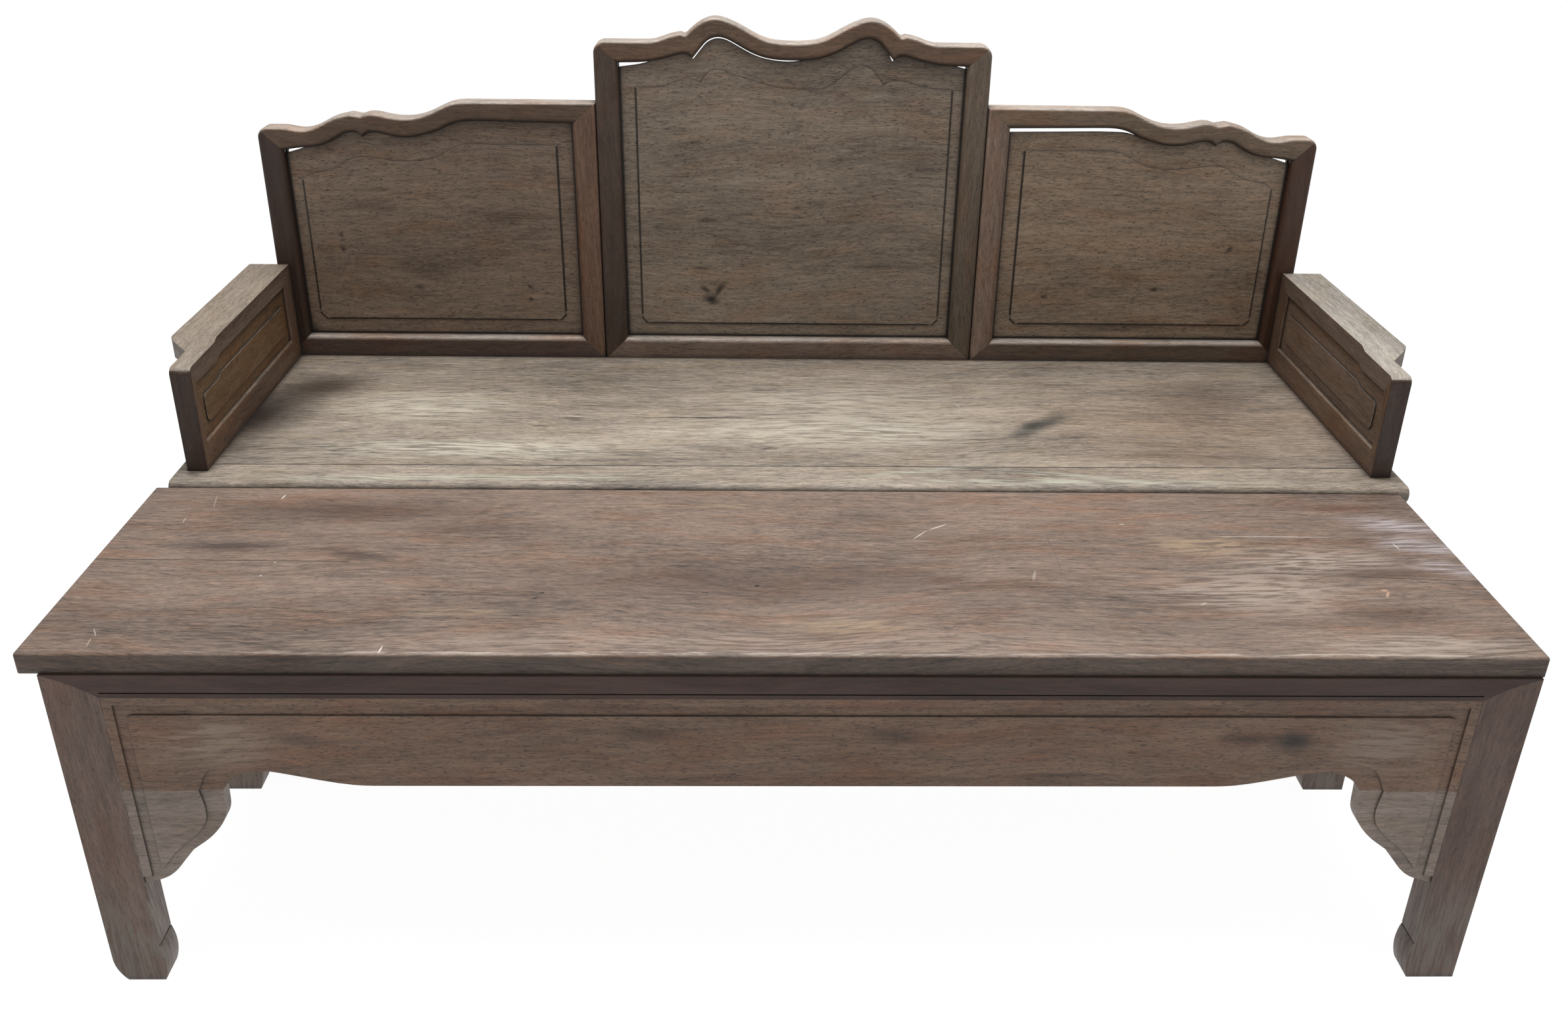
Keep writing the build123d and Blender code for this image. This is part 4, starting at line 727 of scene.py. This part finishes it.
def near(one, other, gap=3 * MM):
    """Whether the boxes of two nodes come as near as a small gap."""
    (low, high), (other_low, other_high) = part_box(one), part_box(other)
    return all(low[i] - gap < other_high[i] and other_low[i] - gap < high[i] for i in range(3))


def dress_nodes():
    """Replace each node by its worn copy, in wood of its own."""
    bodies = {}
    for body, nodes in frame["record"]["behaviour"]["bodies"].items():
        bodies.update((node, body) for node in nodes)
    solids = {node: solid_of(node) for node in frame["nodes"]}
    surfaces = {node: BVHTree.FromBMesh(solid) for node, solid in solids.items()}
    for index, node in enumerate(sorted(frame["nodes"])):
        finish, grain = finish_of(node)
        look = FINISHES[finish]
        side = OWN_SIDES.get(node, look.side)
        # The bench top's boards come from one plank, so the figure runs on across their joint.
        shift = 0.0 if node.startswith("bench_top") else BOARD_SHIFT * (index + 1)
        marks = marks_of(node)
        material = aged_hardwood(f"aged_hardwood_{node}", look, side, grain, shift, marks)
        neighbours = [surfaces[other] for other in surfaces if other != node and near(node, other)]
        make_worn_copy(node, solids[node], bodies[node], material, neighbours)


# ---------------------------------------------------------------- floor, light and camera
def make_white_object(name, sheet, material_name, values):
    """Something matt and white round the object. It glows, so that shadows on it are faint."""
    material = bpy.data.materials.new(material_name)
    material.use_nodes = True
    shader = material.node_tree.nodes["Principled BSDF"]
    shader.inputs["Base Color"].default_value = colour("#707070")
    shader.inputs["Emission Color"].default_value = (1, 1, 1, 1)
    for socket, value in values.items():
        shader.inputs[socket].default_value = value
    return as_object(name, sheet, material)


def make_floor(reach):
    """A floor that runs far past the view, as far as reach to each side."""
    sheet = bmesh.new()
    bmesh.ops.create_grid(sheet, x_segments=1, y_segments=1, size=reach)
    surface = {"Roughness": 0.9, "Specular IOR Level": 0.1, "Emission Strength": 0.96}
    floor = make_white_object("floor", sheet, "pale_floor", surface)


def make_backdrop(radius, height):
    """A tall wall round the floor. Only the camera sees it, so it adds no light."""
    sheet = bmesh.new()
    bmesh.ops.create_cone(
        sheet, cap_ends=False, segments=64, radius1=radius, radius2=radius, depth=height
    )
    wall = make_white_object("backdrop", sheet, "white_paper_roll", {"Emission Strength": 1.0})
    for ray in ("diffuse", "glossy", "transmission", "volume_scatter", "shadow"):
        setattr(wall, f"visible_{ray}", False)


def make_light(name, place, target, size, power):
    """A square soft box at a place, turned towards a target."""
    data = bpy.data.lights.new(name, "AREA")
    data.size = size
    data.energy = power
    light = bpy.data.objects.new(name, data)
    light.location = place
    light.rotation_euler = (Vector(target) - Vector(place)).to_track_quat("-Z", "Y").to_euler()
    bpy.context.scene.collection.objects.link(light)


def make_world(strength):
    """White light from all round."""
    world = bpy.data.worlds.new("white_room")
    world.use_nodes = True
    background = world.node_tree.nodes["Background"]
    background.inputs["Color"].default_value = (1, 1, 1, 1)
    background.inputs["Strength"].default_value = strength
    bpy.context.scene.world = world


def make_camera():
    """Camera at standing height before the bench, looking down on it."""
    place = Vector((-0.0643, -1.9420, 1.4464))
    pitch, roll, yaw = 0.467679, 0.0168272, 0.0254008
    data = bpy.data.cameras.new("camera")
    data.sensor_width = 36.0
    data.lens = 32.27
    camera = bpy.data.objects.new("camera", data)
    turn = (
        Matrix.Rotation(-yaw, 4, "Z")
        @ Matrix.Rotation(math.pi / 2 - pitch, 4, "X")
        @ Matrix.Rotation(roll, 4, "Z")
    )
    camera.matrix_world = Matrix.Translation(place) @ turn
    bpy.context.scene.collection.objects.link(camera)
    bpy.context.scene.camera = camera


dress_nodes()
make_floor(reach=30.0)
make_backdrop(radius=29.0, height=60.0)
make_world(strength=0.3)
make_light("overhead", place=(0.0, 0.2, 3.2), target=(0, 0.1, 0.5), size=3.0, power=120)
make_camera()
bpy.context.scene.view_settings.view_transform = "Standard"
